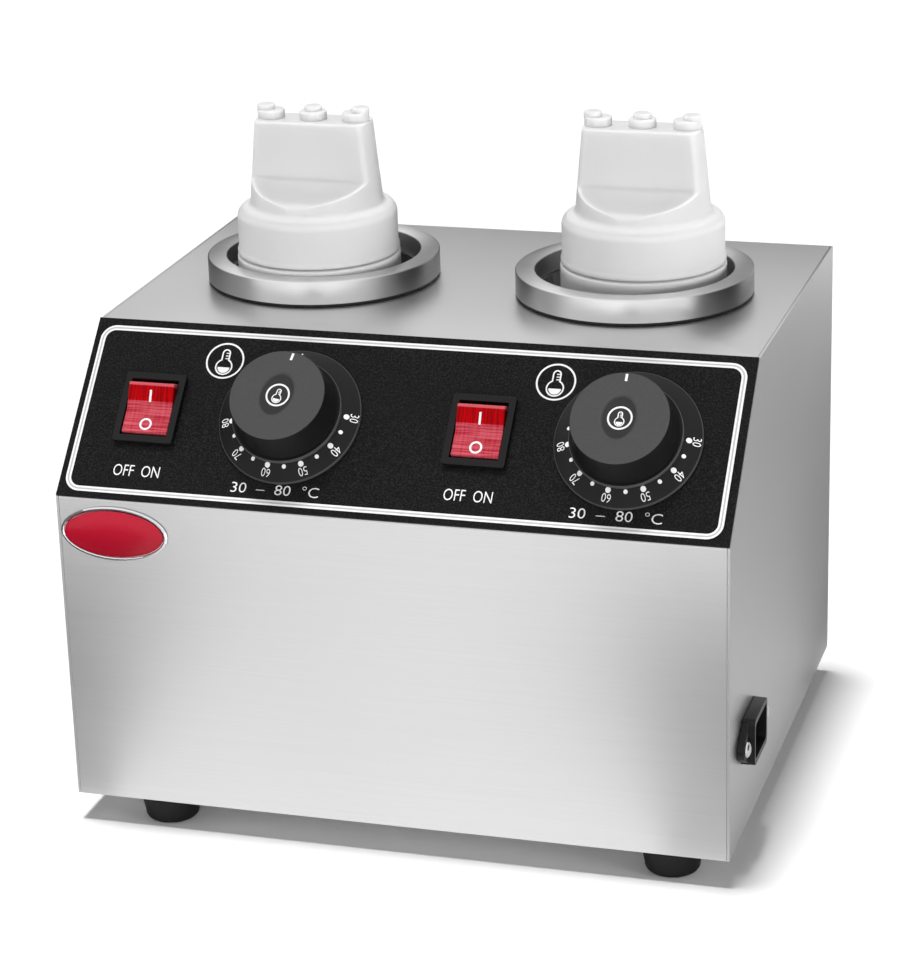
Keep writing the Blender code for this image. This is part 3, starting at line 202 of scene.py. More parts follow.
def softened(name, width, material, body, widen=1.0):
    """A CAD node with its edges rounded: the same solid, with a small bevel along every sharp edge."""
    mesh = nodes[name].data.copy()
    shape = bmesh.new()
    shape.from_mesh(mesh)
    bmesh.ops.scale(shape, vec=(widen, 1, 1), verts=shape.verts)
    bmesh.ops.remove_doubles(shape, verts=shape.verts, dist=WELD)
    bmesh.ops.dissolve_limit(
        shape, verts=shape.verts, edges=shape.edges, angle_limit=FLAT, use_dissolve_boundaries=False)
    shape.to_mesh(mesh)
    shape.free()
    mesh.materials.clear()
    mesh.materials.append(material)
    made = bpy.data.objects.new(f"{name}_edged", mesh)
    bpy.context.scene.collection.objects.link(made)
    bevel = made.modifiers.new("edges", "BEVEL")
    bevel.width = width
    bevel.segments = 2
    bevel.limit_method = "ANGLE"
    bevel.angle_limit = BEVELLED
    bevel.harden_normals = True
    mesh.shade_smooth()
    mesh.set_sharp_from_angle(angle=SHARP)
    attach(made, body)
    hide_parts(name)
    return made


for piece, steel, widen in (("wrapper_sheet", case_steel, WRAPPER_LET_OUT), ("base_pan", case_steel, 1.0),
                            ("left_side_panel", end_steel, 1.0), ("right_side_panel", end_steel, 1.0)):
    sheet = softened(piece, SHEET_EDGE, steel, "housing", widen)


# Feet
# Moulded black rubber, tapered downwards with a rounded lower edge, each held up to the pan by a
# zinc-plated screw whose head sits deep in a counterbore, clear of the counter.

FOOT_TOP = 0.0127
FOOT_TOP_RADIUS = 0.0140
FOOT_BOTTOM_RADIUS = 0.0122
FOOT_EDGE = 0.0030
FOOT_BORE = 0.0023
FOOT_COUNTERBORE = 0.0044
FOOT_SEAT = 0.0060
RUBBER_GRAIN = 0.00006


def turned(name, profile, material, steps=96):
    """A closed (radius, z) outline spun round Z."""
    shape = bmesh.new()
    points = [shape.verts.new((radius, 0, z)) for radius, z in profile]
    loop = [shape.edges.new(pair) for pair in zip(points, points[1:])]
    if profile[0][0] or profile[-1][0]:
        loop.append(shape.edges.new((points[-1], points[0])))
    bmesh.ops.spin(
        shape, geom=points + loop, cent=(0, 0, 0), axis=(0, 0, 1), angle=math.tau,
        steps=steps, use_merge=True)
    bmesh.ops.remove_doubles(shape, verts=shape.verts, dist=WELD / 2)
    return shown(name, shape, material)


def shown(name, shape, material):
    """An object from a bmesh, its faces outwards, smooth except across its sharp edges."""
    bmesh.ops.recalc_face_normals(shape, faces=shape.faces)
    mesh = bpy.data.meshes.new(name)
    shape.to_mesh(mesh)
    shape.free()
    mesh.shade_smooth()
    mesh.set_sharp_from_angle(angle=SHARP)
    mesh.materials.append(material)
    made = bpy.data.objects.new(name, mesh)
    bpy.context.scene.collection.objects.link(made)
    return made


def arc(centre, radius, start, end, steps=6):
    """Points along an arc, angles in degrees."""
    turns = [math.radians(start + (end - start) * i / steps) for i in range(steps + 1)]
    return [(centre[0] + radius * math.cos(a), centre[1] + radius * math.sin(a)) for a in turns]


rubber = Finish("foot_rubber", (0.006, 0.006, 0.006), 0.55, Specular_IOR_Level=0.2)
grain = rubber.noise((2500, 2500, 2500), detail=2.0)
rubber.set(Roughness=grain * 0.2 + 0.5, Normal=rubber.bump(grain, RUBBER_GRAIN, 0.5))
zinc = Finish("zinc_plate", (0.66, 0.67, 0.68), 0.22, Metallic=1.0)
zinc.set(Roughness=zinc.noise((900, 900, 900)) * 0.2 + 0.14)

for corner in ("front_left", "front_right", "rear_left", "rear_right"):
    low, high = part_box(f"foot_{corner}")
    foot = turned(f"foot_{corner}_moulded", [
        (FOOT_BORE, FOOT_TOP), (FOOT_BORE, FOOT_SEAT), (FOOT_COUNTERBORE, FOOT_SEAT), (FOOT_COUNTERBORE, 0),
        *arc((FOOT_BOTTOM_RADIUS - FOOT_EDGE, FOOT_EDGE), FOOT_EDGE, -90, 8),
        *arc((FOOT_TOP_RADIUS - FOOT_EDGE / 4, FOOT_TOP - FOOT_EDGE / 4), FOOT_EDGE / 4, 8, 90, 3),
    ], rubber.material, steps=64)
    foot.location = ((low.x + high.x) / 2, (low.y + high.y) / 2, 0)
    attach(foot, "housing")
    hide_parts(f"foot_{corner}")
    coat(zinc.material, f"foot_screw_{corner}")


# Wells
# A deep-drawn stainless cup hangs by its flange from a turned collar that stands on a thin rubber
# gasket. A band heater is clamped round the cup with one screw, and a felt sleeve keeps the heat in.

DECK = round(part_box("wrapper_sheet")[1].z, 6)
COLLAR_RADIUS = 0.0540
COLLAR_BORE = 0.0450
COLLAR_LIFT = 0.0014
COLLAR_RECESS = 0.0013
COLLAR_BOTTOM = DECK + COLLAR_LIFT
COLLAR_UNDER = COLLAR_BOTTOM + COLLAR_RECESS
COLLAR_TOP = round(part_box("left_collar_ring")[1].z, 6)
COLLAR_LIP = 0.0036
COLLAR_EDGE = 0.0007
# A painted reflection: the collar is painted palest within the first of these distances from its middle
# plane, darkest past the second
COLLAR_REFLECTION_PALE_TO = 0.0224
COLLAR_REFLECTION_DARK_FROM = 0.0510
LATHE_DEPTH = 0.00001
FELT_DEPTH = 0.0005

collar_steel = Finish("turned_collar_steel", (0.70, 0.705, 0.71), 0.24, Metallic=1.0)
lathe_lines = collar_steel.noise((60, 60, 4000), detail=2.0)
# Painted reflection: the collar's front and back are painted pale and its left and right ends dark, with
# faint lathe lines over it
painted_ring_reflection = (collar_steel.along("X") ** 2).between(COLLAR_REFLECTION_PALE_TO ** 2, COLLAR_REFLECTION_DARK_FROM ** 2)
collar_steel.set(
    Base_Color=collar_steel.mix(painted_ring_reflection * 0.9 + lathe_lines * 0.1, (0.80, 0.80, 0.80), (0.20, 0.20, 0.20)),
    Roughness=lathe_lines * 0.10 + 0.27,
    Normal=collar_steel.bump(lathe_lines, LATHE_DEPTH, 0.4),
)
cup_steel = brushed("drawn_cup_steel", (250, 250, 30), (0.30, 0.305, 0.31), (0.42, 0.425, 0.43), 0.30)
gasket = Finish("gasket_rubber", (0.010, 0.010, 0.010), 0.55)
gasket.set(Roughness=gasket.noise((1500, 1500, 1500)) * 0.2 + 0.45)
mica = Finish("heater_jacket", (0.36, 0.30, 0.22), 0.45, Metallic=0.6)
mica.set(Base_Color=mica.mix(mica.noise((120, 120, 120)), (0.28, 0.22, 0.15), (0.44, 0.38, 0.28)))
felt = Finish("ceramic_felt", (0.78, 0.76, 0.70), 0.95)
tufts = felt.noise((700, 700, 250), detail=4.0)
felt.set(
    Base_Color=felt.mix(tufts, (0.66, 0.64, 0.58), (0.84, 0.82, 0.77)),
    Normal=felt.bump(tufts, FELT_DEPTH, 0.6),
)

for side in ("left", "right"):
    low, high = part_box(f"{side}_collar_ring")
    centre = (low + high) / 2
    collar = turned(f"{side}_collar_turned", [
        (COLLAR_BORE, COLLAR_UNDER), (COLLAR_RADIUS - COLLAR_LIP, COLLAR_UNDER),
        (COLLAR_RADIUS - COLLAR_LIP, COLLAR_BOTTOM), (COLLAR_RADIUS, COLLAR_BOTTOM),
        *arc((COLLAR_RADIUS - COLLAR_EDGE, COLLAR_TOP - COLLAR_EDGE), COLLAR_EDGE, 0, 90, 4),
        *arc((COLLAR_BORE + COLLAR_EDGE, COLLAR_TOP - COLLAR_EDGE), COLLAR_EDGE, 90, 180, 4),
    ], collar_steel.material, steps=160)
    collar.location = (centre.x, centre.y, 0)
    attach(collar, "housing")
    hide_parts(f"{side}_collar_ring")
    coat(cup_steel, f"{side}_well_cup")
    coat(gasket.material, f"{side}_collar_gasket")
    coat(mica.material, f"{side}_heater_band")
    coat(felt.material, f"{side}_insulation_sleeve")
    coat(zinc.material, f"{side}_clamp_screw")


# Control fascia
# A thin sheet with a fine-grained black coat over the whole slope, screen printed in white: a frame
# with a grey line along it, a thermometer sign by each dial, switch positions and each scale's range.

# Places on the slope are given across it from its middle, and up it from its lower edge
SLOPE_FOOT = Vector((-0.0029, -0.1191, 0.1560))
SLOPE_RISE = 0.0630
SLOPE_DEPTH = 0.0620
SLOPE_ANGLE = math.atan2(SLOPE_RISE, SLOPE_DEPTH)
slope = Matrix.Translation(SLOPE_FOOT) @ Matrix.Rotation(SLOPE_ANGLE, 4, "X")
FASCIA_TOP = 0.0011
INK_LIFT = 0.00005
SPECKLE_DEPTH = 0.00010
CONTROL_PITCH = 0.1505
SWITCH_X = -0.1151
SWITCH_UP = 0.0442
DIAL_X = -0.0503
DIAL_UP = 0.0450
FRAME_WIDTH = 0.0024
FRAME_GREY_WIDTH = 0.00072
FRAME_LEFT = -0.14585
FRAME_RIGHT = 0.1449
FRAME_BOTTOM = 0.00435
FRAME_TOP = 0.0834
FRAME_CORNER = 0.0058
SIGN_X = -0.0862
SIGN_UP = 0.0704
SIGN_RADIUS = 0.0084
SIGN_RING = 0.0008
SIGN_BULB = 0.0037
SIGN_LINE = 0.00065
POSITIONS_UP = 0.0145
POSITIONS_HEIGHT = 0.0054
RANGE_UP = 0.0106
RANGE_HEIGHT = 0.0050
# How far the type's edges are drawn in, as a share of its size
TYPE_THINNING_SHARE = 0.006

fascia_black = Finish("fascia_coat", (0.004, 0.004, 0.004), 0.45, Specular_IOR_Level=0.12)
speckle = fascia_black.noise((1500, 1500, 1500), detail=3.0, roughness=0.7)
fascia_black.set(
    Base_Color=fascia_black.mix(
        speckle.between(0.42, 0.74), (0.0015, 0.0015, 0.0016), (0.022, 0.022, 0.023)),
    Roughness=speckle * 0.25 + 0.36,
    Normal=fascia_black.bump(speckle, SPECKLE_DEPTH, 0.3),
)
coat(fascia_black.material, "control_fascia")


def screen_ink(name, dark, pale):
    """Screen ink, a little uneven where the mesh pressed it through."""
    made = Finish(name, pale, 0.5, Specular_IOR_Level=0.3)
    made.set(Base_Color=made.mix(made.noise((3000, 3000, 3000)), dark, pale))
    return made.material


white_ink = screen_ink("white_ink", (0.74, 0.74, 0.74), (0.86, 0.86, 0.86))
grey_ink = screen_ink("grey_ink", (0.40, 0.40, 0.41), (0.50, 0.50, 0.51))


class Print:
    """Shapes printed in one ink. They are drawn flat, then laid on a surface by a function of (x, y)."""

    def __init__(self):
        self.outlines = []

    def shape(self, points):
        self.outlines.append([tuple(point) for point in points])

    def line(self, points, width, closed=False):
        """A band along the points, half its width to each side."""
        points = [Vector(point) for point in points]
        ahead = points[1:] + points[:1] if closed else points[1:]
        sides = []
        for i, here in enumerate(points):
            before = points[i - 1] if closed or i else here
            after = points[(i + 1) % len(points)] if closed or i + 1 < len(points) else here
            ways = [way.normalized() for way in (here - before, after - here) if way.length > 0]
            across = [Vector((-way.y, way.x)) for way in ways]
            middle = sum(across, Vector((0, 0))).normalized()
            step = middle * width / 2 / max(middle.dot(across[0]), 0.3)
            sides.append((here + step, here - step))
        for i in range(len(ahead)):
            j = (i + 1) % len(points)
            self.shape([sides[i][0], sides[j][0], sides[j][1], sides[i][1]])

    def disc(self, centre, radius, steps=24):
        self.shape(arc(centre, radius, 0, 360 - 360 / steps, steps - 1))

    def ring(self, centre, radius, width, steps=48):
        self.line(arc(centre, radius, 0, 360 - 360 / steps, steps - 1), width, closed=True)

    def words(self, text, centre, height, turn=0.0, stretch=1.0):
        """Text of a given height round a centre, turned by an angle in degrees."""
        curve = bpy.data.curves.new("type", "FONT")
        curve.body = text
        curve.resolution_u = 3
        curve.offset = -TYPE_THINNING_SHARE
        typed = bpy.data.objects.new("type", curve)
        mesh = typed.to_mesh()
        points = [vertex.co.xy.copy() for vertex in mesh.vertices]
        low = Vector((min(p.x for p in points), min(p.y for p in points)))
        high = Vector((max(p.x for p in points), max(p.y for p in points)))
        size = height / (high.y - low.y)
        spin = Matrix.Rotation(math.radians(turn), 2)
        for face in mesh.polygons:
            corners = [(points[i] - (low + high) / 2) * size for i in face.vertices]
            self.shape([spin @ Vector((c.x * stretch, c.y)) + Vector(centre) for c in corners])
        typed.to_mesh_clear()
        bpy.data.objects.remove(typed)

    def lay(self, name, place, ink, body):
        """The shapes as one piece on a surface, in one ink, riding on a body."""
        shape = bmesh.new()
        for outline in self.outlines:
            shape.faces.new([shape.verts.new(place(x, y)) for x, y in outline])
        bmesh.ops.remove_doubles(shape, verts=shape.verts, dist=WELD)
        mesh = bpy.data.meshes.new(name)
        shape.to_mesh(mesh)
        shape.free()
        mesh.materials.append(ink)
        made = bpy.data.objects.new(name, mesh)
        bpy.context.scene.collection.objects.link(made)
        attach(made, body)


def on_fascia(x, y):
    return slope @ Vector((x, y, FASCIA_TOP + INK_LIFT))


def over_frame(x, y):
    return slope @ Vector((x, y, FASCIA_TOP + 2 * INK_LIFT))


def frame_line():
    """The rounded frame's middle line, corner by corner from the upper right."""
    corners = ((FRAME_RIGHT, FRAME_TOP, 0), (FRAME_LEFT, FRAME_TOP, 90),
               (FRAME_LEFT, FRAME_BOTTOM, 180), (FRAME_RIGHT, FRAME_BOTTOM, 270))
    line = []
    for x, y, start in corners:
        centre = (x - math.copysign(FRAME_CORNER, x), y - math.copysign(FRAME_CORNER, y - SWITCH_UP))
        line += arc(centre, FRAME_CORNER, start, start + 90, 8)
    return line


def thermometer(sheet, x, y, bulb, width):
    """A plain thermometer sign: a tube with a round bulb that is half full, and marks up the tube."""
    low = y - 0.8 * bulb
    round_end = arc((x, low), bulb, 116, 424, 20)
    tube_end = arc((x, y + 1.02 * bulb), 0.44 * bulb, 0, 180, 8)
    sheet.line(round_end + tube_end, width, closed=True)
    sheet.shape(arc((x, low - 0.06 * bulb), 0.76 * bulb, 180, 360, 10))
    for mark in (0.30, 0.65, 1.0):
        sheet.line([(x - 0.02 * bulb, y + mark * bulb), (x + 0.40 * bulb, y + mark * bulb)], width * 0.7)


legend = Print()
legend.line(frame_line(), FRAME_WIDTH, closed=True)
for step in (0, CONTROL_PITCH):
    legend.ring((SIGN_X + step, SIGN_UP), SIGN_RADIUS, SIGN_RING)
    thermometer(legend, SIGN_X + step, SIGN_UP, SIGN_BULB, SIGN_LINE)
    legend.words("OFF  ON", (SWITCH_X + step, POSITIONS_UP), POSITIONS_HEIGHT, stretch=0.72)
    legend.words("30  –  80  °C", (DIAL_X + step, RANGE_UP), RANGE_HEIGHT, stretch=1.12)
legend.lay("fascia_legend", on_fascia, white_ink, "housing")
inner_line = Print()
inner_line.line(frame_line(), FRAME_GREY_WIDTH, closed=True)
inner_line.lay("fascia_frame_line", over_frame, grey_ink, "housing")


# Rocker switches
# A glossy black bezel snaps into the panel. The rocker is clear red plastic over a lamp, with a painted
# reflection that makes the half that lies flat lighter, a painted highlight at its top end, a white
# stroke on the half that turns it on and a ring on the other.

BEZEL_EDGE = 0.0003
BEZEL_TOP = 0.0039
ROCKER_WIDTH = 0.0211
ROCKER_HALF = 0.0113
ROCKER_CORNER = 0.0055
ROCKER_EDGE = 0.0004
ROCKER_BEVELLED = math.radians(18)
ROCKER_TILT = math.radians(10)
ROCKER_BELOW = 0.0040
ROCKER_SUNK = 0.0005
ROCKER_VALLEY = ROCKER_CORNER - ROCKER_HALF * math.tan(ROCKER_TILT)
ROCKER_PIVOT = BEZEL_TOP - ROCKER_SUNK - ROCKER_VALLEY
# Heights on the rocker's face: where its pale half, a painted reflection, ends, where its deep half starts,
# and its painted highlight at the top end
PALE_HALF_END = 0.0030
DEEP_HALF_START = 0.0036
PAINTED_END_HIGHLIGHT = (0.0100, 0.0104)
STROKE_START = 0.0030
STROKE_END = 0.0083
STROKE_WIDTH = 0.0010
RING_UP = -0.0073
RING_RADIUS = 0.0024
RING_WIDTH = 0.0009
MOULD_GRAIN_DEPTH = 0.00003
RIB_DEPTH = 0.00004

black_gloss = Finish("switch_black", (0.006, 0.006, 0.006), 0.3, Specular_IOR_Level=0.22)
mould_grain = black_gloss.noise((1800, 1800, 1800), detail=2.0)
black_gloss.set(
    Roughness=mould_grain * 0.18 + 0.22,
    Normal=black_gloss.bump(mould_grain, MOULD_GRAIN_DEPTH, 0.4),
)

rocker_red = Finish("rocker_red", (0.50, 0.004, 0.01), 0.3, Specular_IOR_Level=0.08)
height_up = rocker_red.along("Y")
ribs = rocker_red.noise((50, 1500, 50), detail=3.0).between(0.35, 0.65)
waves = rocker_red.noise((1300, 60, 60), detail=3.0).between(0.35, 0.65)
# Painted reflection: the half that lies flat is painted lighter, with the ribs showing through it
flat_half = 1 - height_up.between(PALE_HALF_END, DEEP_HALF_START)
painted_reflection_half = rocker_red.mix(ribs * 0.8 + waves * 0.2, (0.33, 0.010, 0.022), (0.56, 0.10, 0.13))
deep_half = rocker_red.mix(waves, (0.22, 0.0, 0.001), (0.44, 0.001, 0.004))
# Painted highlight: a paler band is painted across the rocker's top end
deep_half_with_painted_end_highlight = rocker_red.mix(height_up.between(*PAINTED_END_HIGHLIGHT), deep_half, (0.55, 0.09, 0.11))
rocker_red.set(
    Base_Color=rocker_red.mix(flat_half, deep_half_with_painted_end_highlight, painted_reflection_half),
    Roughness=waves * 0.2 + 0.22,
    Normal=rocker_red.bump(ribs * flat_half, RIB_DEPTH, 0.4),
)


def rocker_mesh(name):
    """The rocker's side view, two faces that meet in a shallow valley, drawn out to its width."""
    swing = math.hypot(ROCKER_HALF, ROCKER_CORNER)
    top = math.degrees(math.atan2(ROCKER_CORNER, ROCKER_HALF))
    low = -math.degrees(math.asin(ROCKER_BELOW / swing))
    right = arc((0, 0), swing, top, low, 8)
    outline = [(0, ROCKER_VALLEY), *right, *[(-y, z) for y, z in right[::-1]]]
    shape = bmesh.new()
    base = shape.faces.new([shape.verts.new((-ROCKER_WIDTH / 2, y, z)) for y, z in outline])
    grown = bmesh.ops.extrude_face_region(shape, geom=[base])["geom"]
    across = [item for item in grown if isinstance(item, bmesh.types.BMVert)]
    bmesh.ops.translate(shape, vec=(ROCKER_WIDTH, 0, 0), verts=across)
    return shown(name, shape, rocker_red.material)


for side, step in (("left", 0), ("right", CONTROL_PITCH)):
    bezel = softened(f"{side}_switch_housing", BEZEL_EDGE, black_gloss.material, "housing")
    pivot = slope @ Matrix.Translation((SWITCH_X + step, SWITCH_UP, ROCKER_PIVOT))
    seat = pivot @ Matrix.Rotation(ROCKER_TILT, 4, "X")
    rocker = rocker_mesh(f"{side}_rocker_moulded")
    rocker.matrix_world = seat
    edges = rocker.modifiers.new("edges", "BEVEL")
    edges.width = ROCKER_EDGE
    edges.segments = 3
    edges.limit_method = "ANGLE"
    edges.angle_limit = ROCKER_BEVELLED
    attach(rocker, f"{side}_rocker")
    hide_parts(f"{side}_switch_rocker")

    def on_rocker(x, y):
        """The rocker's two faces, a little above the plastic."""
        rise = ROCKER_VALLEY + abs(y) * math.tan(ROCKER_TILT) + INK_LIFT
        return seat @ Vector((x, y, rise))

    marks = Print()
    marks.line([(0, STROKE_START), (0, STROKE_END)], STROKE_WIDTH)
    marks.ring((0, RING_UP), RING_RADIUS, RING_WIDTH)
    marks.lay(f"{side}_rocker_marks", on_rocker, white_ink, f"{side}_rocker")


# Dials, knobs and thermostats
# Behind the slope a capillary thermostat holds a steel shaft. In front, a shallow black cone with the
# scale is fixed to the panel, and a knob turns over it: a low skirt, a tapered grip, an oval scoop.

DIAL_RADIUS = 0.0320
DIAL_BORE = 0.0090
DIAL_BOTTOM = 0.0014
DIAL_RIM = DIAL_BOTTOM + 0.0014
DIAL_CROWN = DIAL_BOTTOM + 0.0047
DIAL_CROWN_RADIUS = 0.0236
DIAL_EDGE = 0.0004
# How far in from the dial's rim its painted highlight, a paler edge, starts and is at its palest
RIM_HIGHLIGHT_START = 0.0005
RIM_HIGHLIGHT_FULL = 0.0002
KNOB_BOTTOM = DIAL_CROWN + 0.0003
KNOB_SKIRT = KNOB_BOTTOM + 0.0022
KNOB_TOP = KNOB_BOTTOM + 0.0170
KNOB_SKIRT_RADIUS = 0.0245
KNOB_GRIP_RADIUS = 0.0226
KNOB_TOP_RADIUS = 0.0214
KNOB_BORE = 0.0033
KNOB_BORE_TOP = KNOB_BOTTOM + 0.0135
KNOB_EDGE = 0.0007
SKIRT_UNDER_EDGE = 0.0003
SKIRT_TOP_EDGE = 0.0005
GRIP_FOOT = 0.0003
GRIP_FOOT_RISE = 0.0004
# Radii between which the knob's painted light goes from its lit top to its shaded side, and from there to
# the painted highlight on its skirt
TOP_TONE_END = (0.0209, 0.0212)
SIDE_TONE_END = (0.0240, 0.0243)
SCOOP_WIDTH = 0.0078
SCOOP_LENGTH = 0.0105
SCOOP_DEPTH = 0.0014
# The scoop's slope as shares of its size: where it starts, and how wide it is
SCOOP_BRINK = 1.06
SCOOP_SLOPE = 0.26
# How far under the knob's top the painted shade in the scoop is at its darkest, and where it starts
SCOOP_DARK = 0.0012
SCOOP_TONE_START = 0.0001
SCOOP_CENTRE = (-0.0005, 0.0005)
SCALE_CENTRE = Vector((0.0005, 0.0007))
SCALE_DOTS = 12
SCALE_START = -0.5
SCALE_STEP = 16.6
SCALE_RADIUS = 0.0260
SCALE_DOT = 0.0012
SCALE_SMALL_DOT = 0.0009
FIGURES_RADIUS = 0.0292
FIGURES_HEIGHT = 0.0035
ZERO_MARK_START = 0.0275
ZERO_MARK_END = 0.0300
ZERO_MARK_WIDTH = 0.0007
POINTER_START = 0.0172
POINTER_END = 0.0205
POINTER_WIDTH = 0.0011
KNOB_RING_CENTRE = (-0.0002, 0.0007)
KNOB_RING_RADIUS = 0.0050
KNOB_RING_WIDTH = 0.0008
KNOB_SIGN_CENTRE = (-0.0002, 0.0006)
KNOB_SIGN_BULB = 0.0020
KNOB_SIGN_LINE = 0.00045
KNOB_GRAIN_DEPTH = 0.00005

knob_black = Finish("knob_black", (0.030, 0.030, 0.030), 0.42, Specular_IOR_Level=0.12)
grain = knob_black.noise((2200, 2200, 2200), detail=3.0)
# Painted light: the knob's top is painted paler as if lit from above, its side painted dark as shade, and
# its skirt's rim painted paler as a highlight
out = knob_black.along("X") ** 2 + knob_black.along("Y") ** 2
skirt_highlight_mask, off_top = [out.between(start ** 2, end ** 2) for start, end in (SIDE_TONE_END, TOP_TONE_END)]
painted_dark_side_and_lit_skirt = knob_black.mix(skirt_highlight_mask, (0.006, 0.006, 0.006), (0.060, 0.060, 0.060))
painted_lit_top = knob_black.mix(grain, (0.046, 0.046, 0.046), (0.074, 0.074, 0.074))
# Painted shade: the scoop is painted darker the deeper it lies under the knob's top
outside_painted_scoop_shade = knob_black.along("Z").between(KNOB_TOP - SCOOP_DARK, KNOB_TOP - SCOOP_TONE_START)
painted_lit_top_and_scoop_shade = knob_black.mix(outside_painted_scoop_shade, (0.030, 0.030, 0.030), painted_lit_top)
knob_black.set(
    Base_Color=knob_black.mix(off_top, painted_lit_top_and_scoop_shade, painted_dark_side_and_lit_skirt),
    Roughness=grain * 0.16 + 0.36,
    Normal=knob_black.bump(grain, KNOB_GRAIN_DEPTH, 0.4),
)
dial_black = Finish("dial_black", (0.005, 0.005, 0.005), 0.34, Specular_IOR_Level=0.2)
sheen = dial_black.noise((1500, 1500, 1500), detail=2.0)
out = dial_black.along("X") ** 2 + dial_black.along("Y") ** 2
# Painted highlight: the dial's outer rim is painted paler
painted_rim_highlight = out.between((DIAL_RADIUS - RIM_HIGHLIGHT_START) ** 2, (DIAL_RADIUS - RIM_HIGHLIGHT_FULL) ** 2)
dial_black.set(
    Base_Color=dial_black.mix(painted_rim_highlight, (0.006, 0.006, 0.006), (0.05, 0.05, 0.05)),
    Roughness=sheen * 0.14 + 0.28,
    Normal=dial_black.bump(sheen, MOULD_GRAIN_DEPTH, 0.4),
)
thermostat_case = Finish("thermostat_moulding", (0.70, 0.66, 0.56), 0.5)
thermostat_case.set(Roughness=thermostat_case.noise((400, 400, 400)) * 0.2 + 0.42)
copper = Finish("drawn_copper", (0.75, 0.38, 0.24), 0.28, Metallic=1.0)
copper.set(Roughness=copper.noise((600, 600, 600)) * 0.25 + 0.18)


def scoop(x, y):
    """How deep the finger scoop in the knob's top is at a place."""
    reach = math.hypot((x - SCOOP_CENTRE[0]) / SCOOP_WIDTH, (y - SCOOP_CENTRE[1]) / SCOOP_LENGTH)
    share = min(max((SCOOP_BRINK - reach) / SCOOP_SLOPE, 0), 1)
    return SCOOP_DEPTH * share * share * (3 - 2 * share)


def knob_mesh(name):
    """The knob turned on its shaft's bore, with rings of points on its top that sink into the scoop."""
    skirt_under = (KNOB_SKIRT_RADIUS - SKIRT_UNDER_EDGE, KNOB_BOTTOM + SKIRT_UNDER_EDGE)
    skirt_top = (KNOB_SKIRT_RADIUS - SKIRT_TOP_EDGE, KNOB_SKIRT - SKIRT_TOP_EDGE)
    rings = (17, 14, 12, 11.2, 10.6, 10, 9.4, 8.8, 8.2, 7.6, 7, 6.3, 5.5, 4.5, 3, 1.5, 0)
    made = turned(name, [
        (0, KNOB_BORE_TOP), (KNOB_BORE, KNOB_BORE_TOP), (KNOB_BORE, KNOB_BOTTOM),
        *arc(skirt_under, SKIRT_UNDER_EDGE, -90, 0, 2),
        *arc(skirt_top, SKIRT_TOP_EDGE, 0, 90, 3),
        (KNOB_GRIP_RADIUS + GRIP_FOOT, KNOB_SKIRT), (KNOB_GRIP_RADIUS, KNOB_SKIRT + GRIP_FOOT_RISE),
        *arc((KNOB_TOP_RADIUS - KNOB_EDGE, KNOB_TOP - KNOB_EDGE), KNOB_EDGE, 4, 90, 5),
        *[(millimetres / 1000, KNOB_TOP) for millimetres in rings],
    ], knob_black.material, steps=128)
    for vertex in made.data.vertices:
        if vertex.co.z > KNOB_TOP - KNOB_EDGE / 4:
            vertex.co.z -= scoop(vertex.co.x, vertex.co.y)
    return made


for side, step, rest in (("left", 0, -9.5), ("right", CONTROL_PITCH, 0.0)):
    seat = slope @ Matrix.Translation((DIAL_X + step, DIAL_UP, 0))
    dial = turned(f"{side}_dial_moulded", [
        (DIAL_BORE, DIAL_BOTTOM), (DIAL_RADIUS, DIAL_BOTTOM),
        *arc((DIAL_RADIUS - DIAL_EDGE, DIAL_RIM - DIAL_EDGE), DIAL_EDGE, 0, 64, 3),
        *arc((DIAL_CROWN_RADIUS, DIAL_CROWN - DIAL_EDGE), DIAL_EDGE, 64, 90, 2), (DIAL_BORE, DIAL_CROWN),
    ], dial_black.material, steps=128)
    dial.matrix_world = seat
    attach(dial, "housing")
    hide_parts(f"{side}_dial_bezel")

    def on_dial(x, y):
        """The dial's cone, laid out flat round its centre."""
        radius = math.hypot(x, y)
        fall = (radius - DIAL_CROWN_RADIUS) * (DIAL_CROWN - DIAL_RIM) / (DIAL_RADIUS - DIAL_CROWN_RADIUS)
        return seat @ Vector((x, y, DIAL_CROWN - max(fall, 0) + 2 * INK_LIFT))

    scale = Print()
    for i in range(SCALE_DOTS):
        turn = SCALE_START - SCALE_STEP * i
        out = Vector((math.cos(math.radians(turn)), math.sin(math.radians(turn))))
        scale.disc(SCALE_CENTRE + out * SCALE_RADIUS, SCALE_SMALL_DOT if i % 2 else SCALE_DOT)
        if i % 2 == 0:
            place = SCALE_CENTRE + out * FIGURES_RADIUS
            scale.words(str(30 + 5 * i), place, FIGURES_HEIGHT, turn=turn - 90, stretch=0.86)
    scale.line([(0, ZERO_MARK_START), (0, ZERO_MARK_END)], ZERO_MARK_WIDTH)
    scale.lay(f"{side}_dial_scale", on_dial, white_ink, "housing")

    turned_seat = seat @ Matrix.Rotation(math.radians(rest), 4, "Z")
    knob = knob_mesh(f"{side}_knob_moulded")
    knob.matrix_world = turned_seat
    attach(knob, f"{side}_knob")
    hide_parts(f"{side}_control_knob")

    def on_knob(x, y):
        return turned_seat @ Vector((x, y, KNOB_TOP - scoop(x, y) + INK_LIFT))

    mark = Print()
    mark.line([(0, POINTER_START), (0, POINTER_END)], POINTER_WIDTH)
    mark.ring(KNOB_RING_CENTRE, KNOB_RING_RADIUS, KNOB_RING_WIDTH)
    thermometer(mark, *KNOB_SIGN_CENTRE, KNOB_SIGN_BULB, KNOB_SIGN_LINE)
    mark.lay(f"{side}_knob_marks", on_knob, white_ink, f"{side}_knob")
    coat(thermostat_case.material, f"{side}_thermostat_body")
    coat(zinc.material, f"{side}_thermostat_shaft")
    coat(copper.material, f"{side}_thermostat_sensor")


